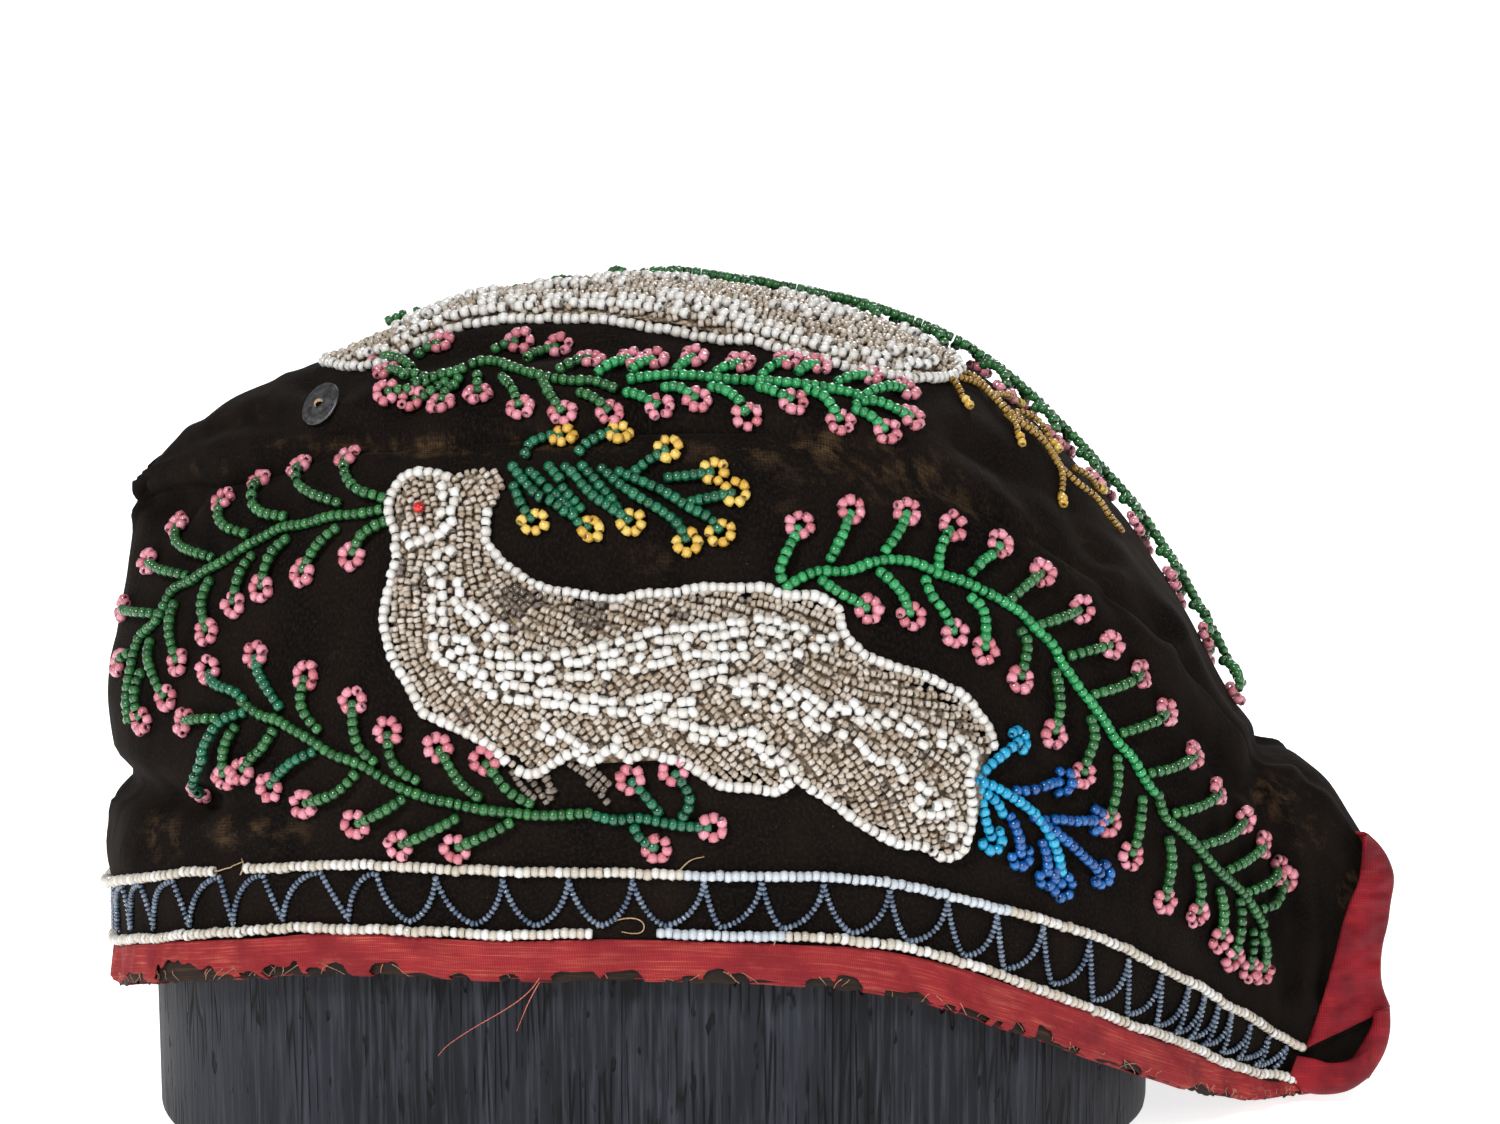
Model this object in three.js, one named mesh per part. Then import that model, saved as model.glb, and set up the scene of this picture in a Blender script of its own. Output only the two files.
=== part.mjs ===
import * as THREE from 'three';

// A beaded glengarry cap of velvet on an oval wooden display block.
// Millimetres, +Z up, front of the cap towards -X, near side towards -Y.
// Z = 0 is the surface that the block stands on.

// Driving sizes of the cap
const LENGTH = 264; // front of the rim to the end of the tail
const HALF_WIDTH = 70.5; // middle plane to the widest point of the rim
const HEIGHT = 170; // standing surface to the top of the crown
const VELVET = 2; // velvet with its backing
const LINING = 1; // strip of lining inside the rim
const LINING_RISE = 14;
const RIBBON = 0.8; // folded ribbon that binds the edges
const BINDING_RISE = 7; // ribbon that shows above the rim
const VENT_BINDING = 11; // ribbon that shows along the vent
const FLARE = 5; // how far the loose lower corner of the ribbon stands off
const EDGE_FLARE = 0.6; // share of it that is left at the folded edge
const FLARE_ALONG = 0.12; // how far the looseness reaches along the rim, as a share of it
const FLARE_UP = 0.35; // and up the vent

// Driving sizes of the beadwork
const ROW_WIDTH = 2.4;
const ROW_THICKNESS = 1.8;
const BAND_RISE = 12.3; // between the middles of the two rows round the rim
const ZIGZAG_STRING = 1.4;
const ZIGZAG_PITCH = 12.3;
const STEM_STRING = 2.3;
const BIRD_EDGE = 1.4; // thickness of a bird at its outline
const BIRD_DOME = 4.2; // what the padding adds in its middle
const SEQUIN_DIAMETER = 9.4;
const SEQUIN_HOLE = 1.8;
const SEQUIN_THICKNESS = 0.5;

// Driving sizes of the block
const BLOCK_SHOULDER = 79; // height of its upright wall
const BLOCK_EDGE = 1.5; // bevel at its foot
const BLOCK_BACK = 0.816; // where its back lies, as a share of LENGTH from the front
const BLOCK_SQUARENESS = 2.2; // exponent of its oval plan; 2 is an ellipse
const DOME_FULLNESS = 1.6; // exponents of the dome's profile
const DOME_FALL = 0.9;
const DOME_RINGS = [0.99, 0.94, 0.84, 0.7, 0.52, 0.33, 0.15]; // shares of the plan

// Clearances
const GAP = 0.3; // between layers that touch
const LINING_GAP = 0.5; // between the velvet and its lining
const SEAM_GAP = 0.8; // between the edges of two panels at a seam
const SEAT = 0.6; // between velvet and the beadwork on it
const BLOCK_SIDE_GAP = 1; // between the block and the binding at the widest point
const BLOCK_TOP_GAP = 0.5; // between the block and the crown that rests on it
const BLOCK_FRONT_GAP = 3.6;

// Sections of the velvet from the middle of the front to the vent, near side.
// x is a share of LENGTH from the front, y and bulge of HALF_WIDTH, z of HEIGHT.
const SECTIONS = table(
  ['rimX', 'rimY', 'rimZ', 'bulge', 'seamX', 'seamY', 'seamZ', 'ridgeX', 'ridgeZ'],
  [
    [0.002, 0.0, 0.159, 0.057, 0.025, 0.0, 0.747, 0.025, 0.747],
    [0.011, 0.255, 0.176, 0.064, 0.04, 0.113, 0.762, 0.044, 0.797],
    [0.042, 0.525, 0.212, 0.085, 0.08, 0.241, 0.776, 0.076, 0.841],
    [0.11, 0.738, 0.244, 0.113, 0.129, 0.369, 0.8, 0.121, 0.882],
    [0.205, 0.894, 0.271, 0.135, 0.208, 0.539, 0.841, 0.201, 0.926],
    [0.33, 0.986, 0.276, 0.142, 0.303, 0.624, 0.856, 0.295, 0.979],
    [0.47, 1.0, 0.276, 0.142, 0.424, 0.652, 0.868, 0.417, 1.0],
    [0.598, 0.943, 0.253, 0.135, 0.549, 0.652, 0.865, 0.545, 0.976],
    [0.697, 0.816, 0.191, 0.121, 0.644, 0.61, 0.794, 0.644, 0.926],
    [0.784, 0.61, 0.115, 0.099, 0.735, 0.525, 0.712, 0.735, 0.821],
    [0.852, 0.369, 0.053, 0.085, 0.814, 0.404, 0.609, 0.82, 0.662],
    [0.894, 0.227, 0.024, 0.05, 0.864, 0.291, 0.506, 0.871, 0.521],
    [0.924, 0.156, 0.018, 0.007, 0.898, 0.206, 0.429, 0.902, 0.447],
    [0.958, 0.121, 0.021, 0.0, 0.947, 0.142, 0.371, 0.951, 0.4],
    [0.992, 0.113, 0.041, 0.0, 0.998, 0.085, 0.276, 0.998, 0.3],
  ],
);
const CROWN_WIDTH_SHARE = 0.52; // of the seam's distance from the middle, halfway up the crown
const CROWN_RISE_SHARE = 0.75; // of the crown's rise, at the same place

// Places on the velvet are given by two shares. along runs from 0 at the middle of the front
// to 1 at the vent. up is 0 at the near rim, 1 at the near seam, 2 at the ridge, 3 at the far
// seam and 4 at the far rim.

// Creases and puffs of the soft cloth, from a start to an end on the velvet.
// width and depth are shares of FOLD_WIDTH and FOLD_DEPTH; a negative depth is a puff.
const FOLD_WIDTH = 6;
const FOLD_DEPTH = 4;
const FOLDS = table(
  ['along', 'up', 'endAlong', 'endUp', 'width', 'depth'],
  [
    [0.0, 0.45, 0.2, 0.36, 0.9, 1.1],
    [0.03, 0.62, 0.14, 0.58, 1.3, -0.4],
    [0.03, 0.27, 0.17, 0.22, 1.1, -0.4],
    [0.04, 0.98, 0.13, 0.95, 0.9, 0.7],
    [0.11, 0.96, 0.28, 1.04, 0.8, 0.5],
    [0.28, 1.04, 0.36, 1.22, 0.7, 0.6],
    [0.33, 1.52, 0.39, 1.46, 0.8, 0.5],
    [0.39, 1.46, 0.47, 1.22, 0.8, 0.4],
    [0.58, 1.24, 0.65, 1.36, 0.9, 0.5],
    [0.66, 1.2, 0.74, 1.05, 0.9, 0.5],
    [0.75, 0.8, 0.85, 0.86, 1.1, 0.7],
    [0.85, 0.5, 0.87, 0.8, 1.2, 0.5],
    [0.9, 0.35, 0.92, 0.75, 0.9, -0.3],
  ],
);

// Stations along a bird from its head to its tail: its back, then its belly.
const SIDE_BIRD = table(
  ['backAlong', 'backUp', 'bellyAlong', 'bellyUp'],
  [
    [0.369, 0.925, 0.318, 0.91],
    [0.366, 0.88, 0.311, 0.87],
    [0.363, 0.835, 0.314, 0.82],
    [0.36, 0.8, 0.317, 0.775],
    [0.364, 0.765, 0.314, 0.72],
    [0.372, 0.74, 0.314, 0.66],
    [0.386, 0.703, 0.321, 0.583],
    [0.404, 0.69, 0.339, 0.495],
    [0.426, 0.705, 0.366, 0.422],
    [0.449, 0.71, 0.394, 0.4],
    [0.471, 0.693, 0.428, 0.408],
    [0.495, 0.68, 0.454, 0.385],
    [0.507, 0.618, 0.474, 0.362],
    [0.532, 0.6, 0.5, 0.32],
    [0.556, 0.585, 0.523, 0.283],
    [0.568, 0.547, 0.546, 0.31],
  ],
);
const CROWN_BIRD = table(
  ['backAlong', 'backUp', 'bellyAlong', 'bellyUp'],
  [
    [0.266, 1.93, 0.264, 1.86],
    [0.283, 1.98, 0.28, 1.68],
    [0.302, 2.02, 0.299, 1.6],
    [0.319, 2.05, 0.319, 1.64],
    [0.333, 2.08, 0.336, 1.74],
    [0.355, 2.14, 0.356, 1.72],
    [0.38, 2.24, 0.382, 1.66],
    [0.41, 2.32, 0.412, 1.6],
    [0.445, 2.35, 0.447, 1.52],
    [0.475, 2.33, 0.477, 1.42],
    [0.505, 2.29, 0.505, 1.36],
    [0.53, 2.22, 0.532, 1.38],
    [0.556, 2.1, 0.558, 1.5],
    [0.58, 1.98, 0.583, 1.8],
  ],
);

// Stems of the sprays, as chosen points on the velvet: along, up.
const SIDE_STEMS = {
  beak_spray: [
    [0.303, 0.84], [0.288, 0.835], [0.262, 0.82], [0.225, 0.812], [0.194, 0.782],
    [0.158, 0.745], [0.144, 0.677], [0.133, 0.61], [0.138, 0.54],
  ],
  low_spray: [
    [0.433, 0.3], [0.397, 0.325], [0.371, 0.328], [0.344, 0.345], [0.32, 0.388],
    [0.298, 0.432], [0.272, 0.482], [0.241, 0.54], [0.213, 0.585],
  ],
  back_spray: [
    [0.478, 0.725], [0.496, 0.738], [0.521, 0.775], [0.548, 0.805], [0.596, 0.807],
    [0.616, 0.768], [0.632, 0.688], [0.669, 0.583], [0.697, 0.527], [0.741, 0.49], [0.79, 0.49],
  ],
  crest_sprig: [
    [0.379, 0.94], [0.398, 0.927], [0.417, 0.915], [0.433, 0.888], [0.448, 0.848], [0.457, 0.8],
  ],
  tail_sprig: [[0.575, 0.5], [0.584, 0.465], [0.597, 0.43], [0.618, 0.417]],
};
const TOP_STEMS = {
  top_spray_near: [
    [0.314, 1.35], [0.342, 1.34], [0.376, 1.26], [0.399, 1.2], [0.428, 1.17],
    [0.452, 1.18], [0.484, 1.17], [0.513, 1.18], [0.537, 1.15],
  ],
  top_spray_far: [
    [0.325, 2.3], [0.36, 2.4], [0.4, 2.5], [0.45, 2.52], [0.5, 2.48], [0.55, 2.36],
    [0.6, 2.2], [0.65, 2.18], [0.7, 2.2], [0.76, 2.2],
  ],
};
const GOLDEN_SPRIG = [
  [0.588, 1.86], [0.6, 1.75], [0.624, 1.68], [0.642, 1.62], [0.658, 1.6], [0.679, 1.72],
];
const SEQUIN_PLACE = [0.264, 1.25];

// Spacing of the facets
const SIDE_STEPS = 36; // from the front to the vent
const WALL_STEPS = 7; // from the rim to the seam
const CROWN_STEPS = 8; // across the crown
const CROWN_TIP = 0.016; // where the crown starts, a little behind the front seam
const BIRD_STEPS = 5; // across a bird
const ROW_END = 0.885; // where the rows meet the vent's binding
const BLOCK_SIDES = 28;

// Colours
const VELVET_COLOUR = 0x17100c;
const LINING_COLOUR = 0x4a3524;
const RIBBON_COLOUR = 0xb5332f;
const WHITE_BEAD = 0xeeeae0;
const GREY_BEAD = 0x7288a8;
const GREEN_BEAD = 0x2c8a4e;
const TEAL_BEAD = 0x14704a;
const BLUE_BEAD = 0x1f8fc4;
const GOLD_BEAD = 0xb98a2c;
const SEQUIN_COLOUR = 0x3b3d3f;
const BLOCK_COLOUR = 0x14161a;

function table(columns, rows) {
  return rows.map((row) => Object.fromEntries(columns.map((name, i) => [name, row[i]])));
}

// The velvet's surface

function mirrored(point) {
  return new THREE.Vector3(point.x, -point.y, point.z);
}

function catmull(a, b, c, d, t) {
  const blend = (p, q, r, s) => 0.5 * (
    2 * q + (r - p) * t + (2 * p - 5 * q + 4 * r - s) * t ** 2 + (3 * q - p - 3 * r + s) * t ** 3
  );
  return new THREE.Vector3(blend(a.x, b.x, c.x, d.x), blend(a.y, b.y, c.y, d.y), blend(a.z, b.z, c.z, d.z));
}

// The five guide points of a section: rim, belly, seam, crown and ridge.
function sectionGuides() {
  const place = (x, y, z) => new THREE.Vector3((x - 0.5) * LENGTH, -y * HALF_WIDTH, z * HEIGHT);
  const rims = SECTIONS.map((s) => place(s.rimX, s.rimY, s.rimZ));
  const seams = SECTIONS.map((s) => place(s.seamX, s.seamY, s.seamZ));
  const ridges = SECTIONS.map((s) => place(s.ridgeX, 0, s.ridgeZ));
  const middles = rims.map((rim, i) => rim.clone().lerp(seams[i], 0.5));
  const guides = SECTIONS.map((s, i) => {
    const before = i > 0 ? middles[i - 1] : mirrored(middles[1]);
    const after = i < middles.length - 1
      ? middles[i + 1]
      : middles[i].clone().multiplyScalar(2).sub(middles[i - 1]);
    const heading = after.clone().sub(before);
    const outward = new THREE.Vector3(heading.y, -heading.x, 0).normalize();
    const belly = middles[i].clone().addScaledVector(outward, s.bulge * HALF_WIDTH);
    const crown = new THREE.Vector3(
      THREE.MathUtils.lerp(ridges[i].x, seams[i].x, CROWN_WIDTH_SHARE),
      seams[i].y * CROWN_WIDTH_SHARE,
      THREE.MathUtils.lerp(seams[i].z, ridges[i].z, CROWN_RISE_SHARE),
    );
    return [rims[i], belly, seams[i], crown, ridges[i]];
  });
  const beyond = guides.at(-1).map((point, k) => point.clone().multiplyScalar(2).sub(guides.at(-2)[k]));
  return [guides[1].map(mirrored), ...guides, beyond];
}

const GUIDES = sectionGuides();

function guidesAt(along) {
  const spans = SECTIONS.length - 1;
  const place = THREE.MathUtils.clamp(along, 0, 1) * spans;
  const i = Math.min(Math.floor(place), spans - 1);
  return GUIDES[0].map((_, k) => (
    catmull(GUIDES[i][k], GUIDES[i + 1][k], GUIDES[i + 2][k], GUIDES[i + 3][k], place - i)
  ));
}

function smoothPoint(along, up) {
  const [rim, belly, seam, crown, ridge] = guidesAt(along);
  const below = rim.clone().multiplyScalar(2).sub(belly);
  const line = [below, rim, belly, seam, crown, ridge, mirrored(crown)];
  const nearUp = up > 2 ? 4 - up : up;
  const place = THREE.MathUtils.clamp(nearUp * 2, 0, 4);
  const j = Math.min(Math.floor(place), 3);
  const point = catmull(line[j], line[j + 1], line[j + 2], line[j + 3], place - j);
  return up > 2 ? mirrored(point) : point;
}

function normalOf(pointAt, along, up) {
  const step = 0.003;
  const forward = pointAt(Math.min(along + step, 1), up).sub(pointAt(Math.max(along - step, 0), up));
  if (along < step) forward.x = 0;
  const upward = pointAt(along, up + step).sub(pointAt(along, up - step));
  return forward.cross(upward).normalize();
}

// Along and up as millimetres on the opened-out cloth, near enough to measure a fold's width.
const RIM_RUN = 1.24 * LENGTH;
const WALL_RUN = 0.58 * HEIGHT;
const CROWN_RUN = 0.26 * HEIGHT;

function clothPlace(along, up) {
  const nearUp = up > 2 ? 4 - up : up;
  const rise = Math.min(nearUp, 1) * WALL_RUN + Math.max(nearUp - 1, 0) * CROWN_RUN;
  return new THREE.Vector2(along * RIM_RUN, rise);
}

function foldDepth(along, up) {
  const here = clothPlace(along, up);
  let depth = 0;
  for (const fold of FOLDS) {
    const start = clothPlace(fold.along, fold.up);
    const run = clothPlace(fold.endAlong, fold.endUp).sub(start);
    const offset = here.clone().sub(start);
    const share = THREE.MathUtils.clamp(offset.dot(run) / run.lengthSq(), 0, 1);
    const distance = offset.distanceTo(run.multiplyScalar(share));
    depth += fold.depth * FOLD_DEPTH * Math.exp(-((distance / (fold.width * FOLD_WIDTH)) ** 2));
  }
  return depth;
}

function velvetPoint(along, up) {
  const point = smoothPoint(along, up);
  const depth = foldDepth(along, up);
  return point.addScaledVector(normalOf(smoothPoint, along, up), -depth);
}

function lifted(along, up, height) {
  return velvetPoint(along, up).addScaledVector(normalOf(velvetPoint, along, up), height);
}

// Beadwork is stiffer than the cloth: it bridges the creases and rides over the puffs.
function beaded(along, up, height) {
  const puff = Math.max(0, -foldDepth(along, up));
  return smoothPoint(along, up).addScaledVector(normalOf(smoothPoint, along, up), height + puff);
}

// The share of along or up that covers a distance at a place.
function alongShare(along, up, distance) {
  const step = 0.01;
  const a = Math.max(along - step, 0);
  const b = Math.min(along + step, 1);
  return (distance * (b - a)) / smoothPoint(b, up).distanceTo(smoothPoint(a, up));
}

function upShare(along, up, distance) {
  const step = 0.01;
  const a = Math.max(up - step, 0);
  const b = up + step;
  return (distance * (b - a)) / smoothPoint(along, b).distanceTo(smoothPoint(along, a));
}

function farUp(up) {
  return 4 - up;
}

function evenShares(start, end, steps) {
  return Array.from({ length: steps + 1 }, (_, i) => start + ((end - start) * i) / steps);
}

// Builders of closed solids

function solid(points, faces) {
  let volume = 0;
  for (const [a, b, c] of faces) {
    volume += points[a].dot(points[b].clone().cross(points[c]));
  }
  const facing = volume > 0 ? faces : faces.map(([a, b, c]) => [a, c, b]);
  const geometry = new THREE.BufferGeometry();
  geometry.setAttribute('position', new THREE.Float32BufferAttribute(points.flatMap((p) => p.toArray()), 3));
  geometry.setIndex(facing.flat());
  geometry.computeVertexNormals();
  return geometry;
}

function quad(a, b, c, d) {
  return [[a, b, c], [a, c, d]];
}

// A sheet between two grids of points with the same rows and columns.
function sheet(top, bottom) {
  const rows = top.length;
  const columns = top[0].length;
  const points = [...top.flat(), ...bottom.flat()];
  const t = (i, j) => i * columns + j;
  const b = (i, j) => rows * columns + i * columns + j;
  const faces = [];
  for (let i = 0; i < rows - 1; i += 1) {
    for (let j = 0; j < columns - 1; j += 1) {
      faces.push(...quad(t(i, j), t(i + 1, j), t(i + 1, j + 1), t(i, j + 1)));
      faces.push(...quad(b(i, j), b(i, j + 1), b(i + 1, j + 1), b(i + 1, j)));
    }
    const last = columns - 1;
    faces.push(...quad(t(i + 1, 0), t(i, 0), b(i, 0), b(i + 1, 0)));
    faces.push(...quad(t(i, last), t(i + 1, last), b(i + 1, last), b(i, last)));
  }
  for (let j = 0; j < columns - 1; j += 1) {
    const last = rows - 1;
    faces.push(...quad(t(0, j), t(0, j + 1), b(0, j + 1), b(0, j)));
    faces.push(...quad(t(last, j + 1), t(last, j), b(last, j), b(last, j + 1)));
  }
  return solid(points, faces);
}

// A loft through closed rings. The ends are strips, because the second half of a ring runs back
// beside its first half.
function loft(rings) {
  const size = rings[0].length;
  const at = (i, j) => i * size + (j % size);
  const faces = [];
  for (let i = 0; i < rings.length - 1; i += 1) {
    for (let j = 0; j < size; j += 1) {
      faces.push(...quad(at(i, j), at(i + 1, j), at(i + 1, j + 1), at(i, j + 1)));
    }
  }
  const last = rings.length - 1;
  for (let j = 0; j < size / 2 - 1; j += 1) {
    const far = size - 1 - j;
    faces.push(...quad(at(0, j), at(0, j + 1), at(0, far - 1), at(0, far)));
    faces.push(...quad(at(last, j), at(last, far), at(last, far - 1), at(last, j + 1)));
  }
  return solid(rings.flat(), faces);
}

// The places along the side where every layer of the cap has its facets.
function stationsTo(end) {
  const shares = [0, CROWN_TIP, ...evenShares(0, 1, SIDE_STEPS).slice(1)];
  return [...shares.filter((along) => along < end - 0.4 / SIDE_STEPS), end];
}

// The stations of a strip that runs from the near vent round the front to the far vent.
function roundTheRim(end) {
  const shares = stationsTo(end);
  const near = shares.slice(1).reverse().map((along) => ({ along, side: -1 }));
  const far = shares.slice(1).map((along) => ({ along, side: 1 }));
  return [...near, { along: 0, side: -1 }, ...far];
}

function upOn(side, up) {
  return side < 0 ? up : farUp(up);
}

// The pieces

// Both panels take their direction of thickness from the seam itself, so their edges stay parallel.
function wallPoint(along, up, height, facing) {
  return velvetPoint(along, up).addScaledVector(normalOf(velvetPoint, along, facing), height);
}

function sidePanel(side) {
  const edge = (along) => 1 - upShare(along, 1, SEAM_GAP / 2);
  const shares = stationsTo(1);
  shares[0] = alongShare(0, 0.5, SEAM_GAP / 2);
  const layer = (height) => shares.map((along) => (
    evenShares(0, edge(along), WALL_STEPS).map((up, j) => (
      wallPoint(along, upOn(side, up), height, j === WALL_STEPS ? upOn(side, 1) : upOn(side, up))
    ))
  ));
  return sheet(layer(0), layer(-VELVET));
}

function crownPanel() {
  const shares = stationsTo(1).slice(1);
  const layer = (height) => shares.map((along) => {
    const start = 1 + upShare(along, 1, SEAM_GAP / 2);
    const facings = [1, ...evenShares(start, farUp(start), CROWN_STEPS).slice(1, -1), 3];
    return evenShares(start, farUp(start), CROWN_STEPS).map((up, j) => (
      wallPoint(along, up, height, facings[j])
    ));
  });
  return sheet(layer(0), layer(-VELVET));
}

function liningStrip() {
  const outer = -VELVET - LINING_GAP;
  const inner = outer - LINING;
  const end = 1 - alongShare(0.99, 0, 2 * VENT_BINDING);
  return loft(roundTheRim(end).map(({ along, side }) => {
    const top = upOn(side, upShare(along, 0, LINING_RISE));
    const foot = upOn(side, 0);
    return [
      lifted(along, foot, outer),
      lifted(along, top, outer),
      lifted(along, top, inner),
      lifted(along, foot, inner),
    ];
  }));
}

// The ribbon folds over the rim and up both edges of the vent, with a mitred corner between.
// A station holds its place on the edge and how far the ribbon shows along and up from there.
function bindingStations() {
  const ventDistance = (along) => (1 - along) / alongShare(0.99, 0, 1);
  const rimDistance = (up) => up / upShare(1, 0.1, 1);
  const rim = stationsTo(1).map((along) => ({
    along,
    up: 0,
    inAlong: along === 1 ? VENT_BINDING : 0,
    inUp: BINDING_RISE * (along === 1 ? 1 : Math.min(1, ventDistance(along) / VENT_BINDING)),
  }));
  const ventEnd = 1 - upShare(1, 1, SEAM_GAP / 2);
  const vent = evenShares(0, ventEnd, WALL_STEPS).slice(1).map((up) => ({
    along: 1,
    up,
    inAlong: VENT_BINDING * Math.min(1, rimDistance(up) / BINDING_RISE),
    inUp: 0,
  }));
  const half = [...rim, ...vent];
  const near = half.slice(1).reverse().map((s) => ({ ...s, side: -1 }));
  const far = half.map((s) => ({ ...s, side: 1 }));
  return [...near, ...far];
}

function bindingRing(station) {
  const { along, up, inAlong, inUp, side } = station;
  const inside = (height) => lifted(
    along - (inAlong ? alongShare(0.98, up, inAlong) : 0),
    upOn(side, up + (inUp ? upShare(along, up, inUp) : 0)),
    height,
  );
  const edge = velvetPoint(along, upOn(side, up));
  const outwards = new THREE.Vector3();
  if (inAlong) {
    outwards.add(edge.clone().sub(velvetPoint(along - 0.02, upOn(side, up))).normalize());
  }
  if (inUp) {
    outwards.add(edge.clone().sub(velvetPoint(along, upOn(side, up + 0.02))).normalize());
  }
  const beyond = (height, distance) => lifted(along, upOn(side, up), height)
    .addScaledVector(outwards, distance);
  const loose = side < 0 ? looseness(along, up) * FLARE : 0;
  const outer = GAP + loose;
  const inner = -VELVET - LINING_GAP - LINING - GAP;
  return [
    inside(outer + RIBBON),
    beyond(GAP + loose * EDGE_FLARE + RIBBON, GAP + RIBBON),
    beyond(inner - RIBBON, GAP + RIBBON),
    inside(inner - RIBBON),
    inside(inner),
    beyond(inner, GAP),
    beyond(GAP + loose * EDGE_FLARE, GAP),
    inside(outer),
  ];
}

// The near lower corner of the ribbon has come loose and stands off like the lip of a pocket.
function looseness(along, up) {
  const fromCorner = Math.hypot((1 - along) / FLARE_ALONG, up / FLARE_UP);
  return Math.max(0, 1 - fromCorner);
}

function ribbonBinding() {
  return loft(bindingStations().map(bindingRing));
}

const LOWER_ROW = BINDING_RISE + GAP + ROW_WIDTH / 2;
const UPPER_ROW = LOWER_ROW + BAND_RISE;

function beadRow(middle) {
  return loft(roundTheRim(ROW_END).map(({ along, side }) => {
    const low = upOn(side, upShare(along, 0.1, middle - ROW_WIDTH / 2));
    const high = upOn(side, upShare(along, 0.1, middle + ROW_WIDTH / 2));
    return [
      beaded(along, low, SEAT),
      beaded(along, high, SEAT),
      beaded(along, high, SEAT + ROW_THICKNESS),
      beaded(along, low, SEAT + ROW_THICKNESS),
    ];
  }));
}

// Shares of along that lie one equal distance after another on a line round the side.
function alongAtDistances(up, spacing, end) {
  const found = [0];
  let travelled = 0;
  let here = smoothPoint(0, up);
  const fine = 0.0005;
  for (let along = fine; along < end; along += fine) {
    const next = smoothPoint(along, up);
    travelled += next.distanceTo(here);
    here = next;
    if (travelled >= spacing * found.length) found.push(along);
  }
  return found;
}

// One string that climbs and drops between the two rows. Each ring lies across the cap's run,
// so the legs keep their width where they turn.
function zigzagString() {
  const room = BAND_RISE - ROW_WIDTH - 2 * GAP - ZIGZAG_STRING;
  const middle = (LOWER_ROW + UPPER_ROW) / 2;
  const shares = alongAtDistances(0.15, ZIGZAG_PITCH / 2, ROW_END - 0.005);
  const stretch = Math.hypot(ZIGZAG_PITCH / 2, room) / (ZIGZAG_PITCH / 2);
  const radius = ZIGZAG_STRING / 2;
  const tall = Math.min(radius * stretch, (BAND_RISE - ROW_WIDTH) / 2 - GAP);
  const reach = (BAND_RISE - ROW_WIDTH) / 2 - GAP - tall;
  const turn = (i) => middle + (i % 2 ? 1 : -1) * reach;
  const near = shares.map((along, i) => ({ along, side: -1, rise: turn(i) })).slice(1).reverse();
  const far = shares.map((along, i) => ({ along, side: 1, rise: turn(i) }));
  const sides = 6;
  return loft([...near, ...far].map(({ along, side, rise }) => (
    Array.from({ length: sides }, (_, k) => {
      const angle = (2 * Math.PI * (k + 0.5)) / sides;
      const up = upShare(along, 0.1, rise + tall * Math.sin(angle));
      return beaded(along, upOn(side, up), SEAT + radius * (1 + Math.cos(angle)));
    })
  )));
}

function bird(stations, side) {
  const layer = (heightAt) => stations.map((s) => (
    evenShares(0, 1, BIRD_STEPS).map((share) => {
      const along = THREE.MathUtils.lerp(s.bellyAlong, s.backAlong, share);
      const up = THREE.MathUtils.lerp(s.bellyUp, s.backUp, share);
      return beaded(along, upOn(side, up), heightAt(share));
    })
  ));
  const dome = (share) => Math.sqrt(Math.max(0, 1 - (2 * share - 1) ** 4));
  return sheet(layer((share) => SEAT + BIRD_EDGE + BIRD_DOME * dome(share)), layer(() => SEAT));
}

function stem(route, side) {
  const radius = STEM_STRING / 2;
  const points = route.map(([along, up]) => beaded(along, upOn(side, up), SEAT + radius));
  const section = new THREE.Shape();
  section.absarc(0, 0, radius, 0, 2 * Math.PI, false);
  return new THREE.ExtrudeGeometry(section, {
    extrudePath: new THREE.CatmullRomCurve3(points),
    steps: points.length + 1,
    curveSegments: 4,
  });
}

function sequin() {
  const disc = new THREE.Shape();
  disc.absarc(0, 0, SEQUIN_DIAMETER / 2, 0, 2 * Math.PI, false);
  const hole = new THREE.Path();
  hole.absarc(0, 0, SEQUIN_HOLE / 2, 0, 2 * Math.PI, true);
  disc.holes.push(hole);
  return new THREE.ExtrudeGeometry(disc, { depth: SEQUIN_THICKNESS, bevelEnabled: false, curveSegments: 7 });
}

// The block fits inside the lining and the binding and carries the crown.
function displayBlock() {
  const layers = VELVET + LINING_GAP + LINING + GAP + RIBBON;
  const front = -LENGTH / 2 + layers + BLOCK_FRONT_GAP;
  const back = (BLOCK_BACK - 0.5) * LENGTH;
  const halfLength = (back - front) / 2;
  const halfWidth = HALF_WIDTH - layers - BLOCK_SIDE_GAP;
  const top = HEIGHT - VELVET - BLOCK_TOP_GAP;
  const rise = top - BLOCK_SHOULDER;
  const ring = (z, scale, inset = 0) => Array.from({ length: BLOCK_SIDES }, (_, k) => {
    const angle = (2 * Math.PI * (k + 0.5)) / BLOCK_SIDES;
    const round = (value) => Math.sign(value) * Math.abs(value) ** (2 / BLOCK_SQUARENESS);
    return new THREE.Vector3(
      (front + back) / 2 + round(Math.cos(angle)) * (halfLength - inset) * scale,
      round(Math.sin(angle)) * (halfWidth - inset) * scale,
      z,
    );
  });
  const dome = DOME_RINGS.map((scale) => (
    ring(BLOCK_SHOULDER + rise * (1 - scale ** DOME_FULLNESS) ** DOME_FALL, scale)
  ));
  return loft([ring(0, 1, BLOCK_EDGE), ring(BLOCK_EDGE, 1), ring(BLOCK_SHOULDER, 1), ...dome]);
}

// The assembly

const cap = new THREE.Group();

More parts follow.
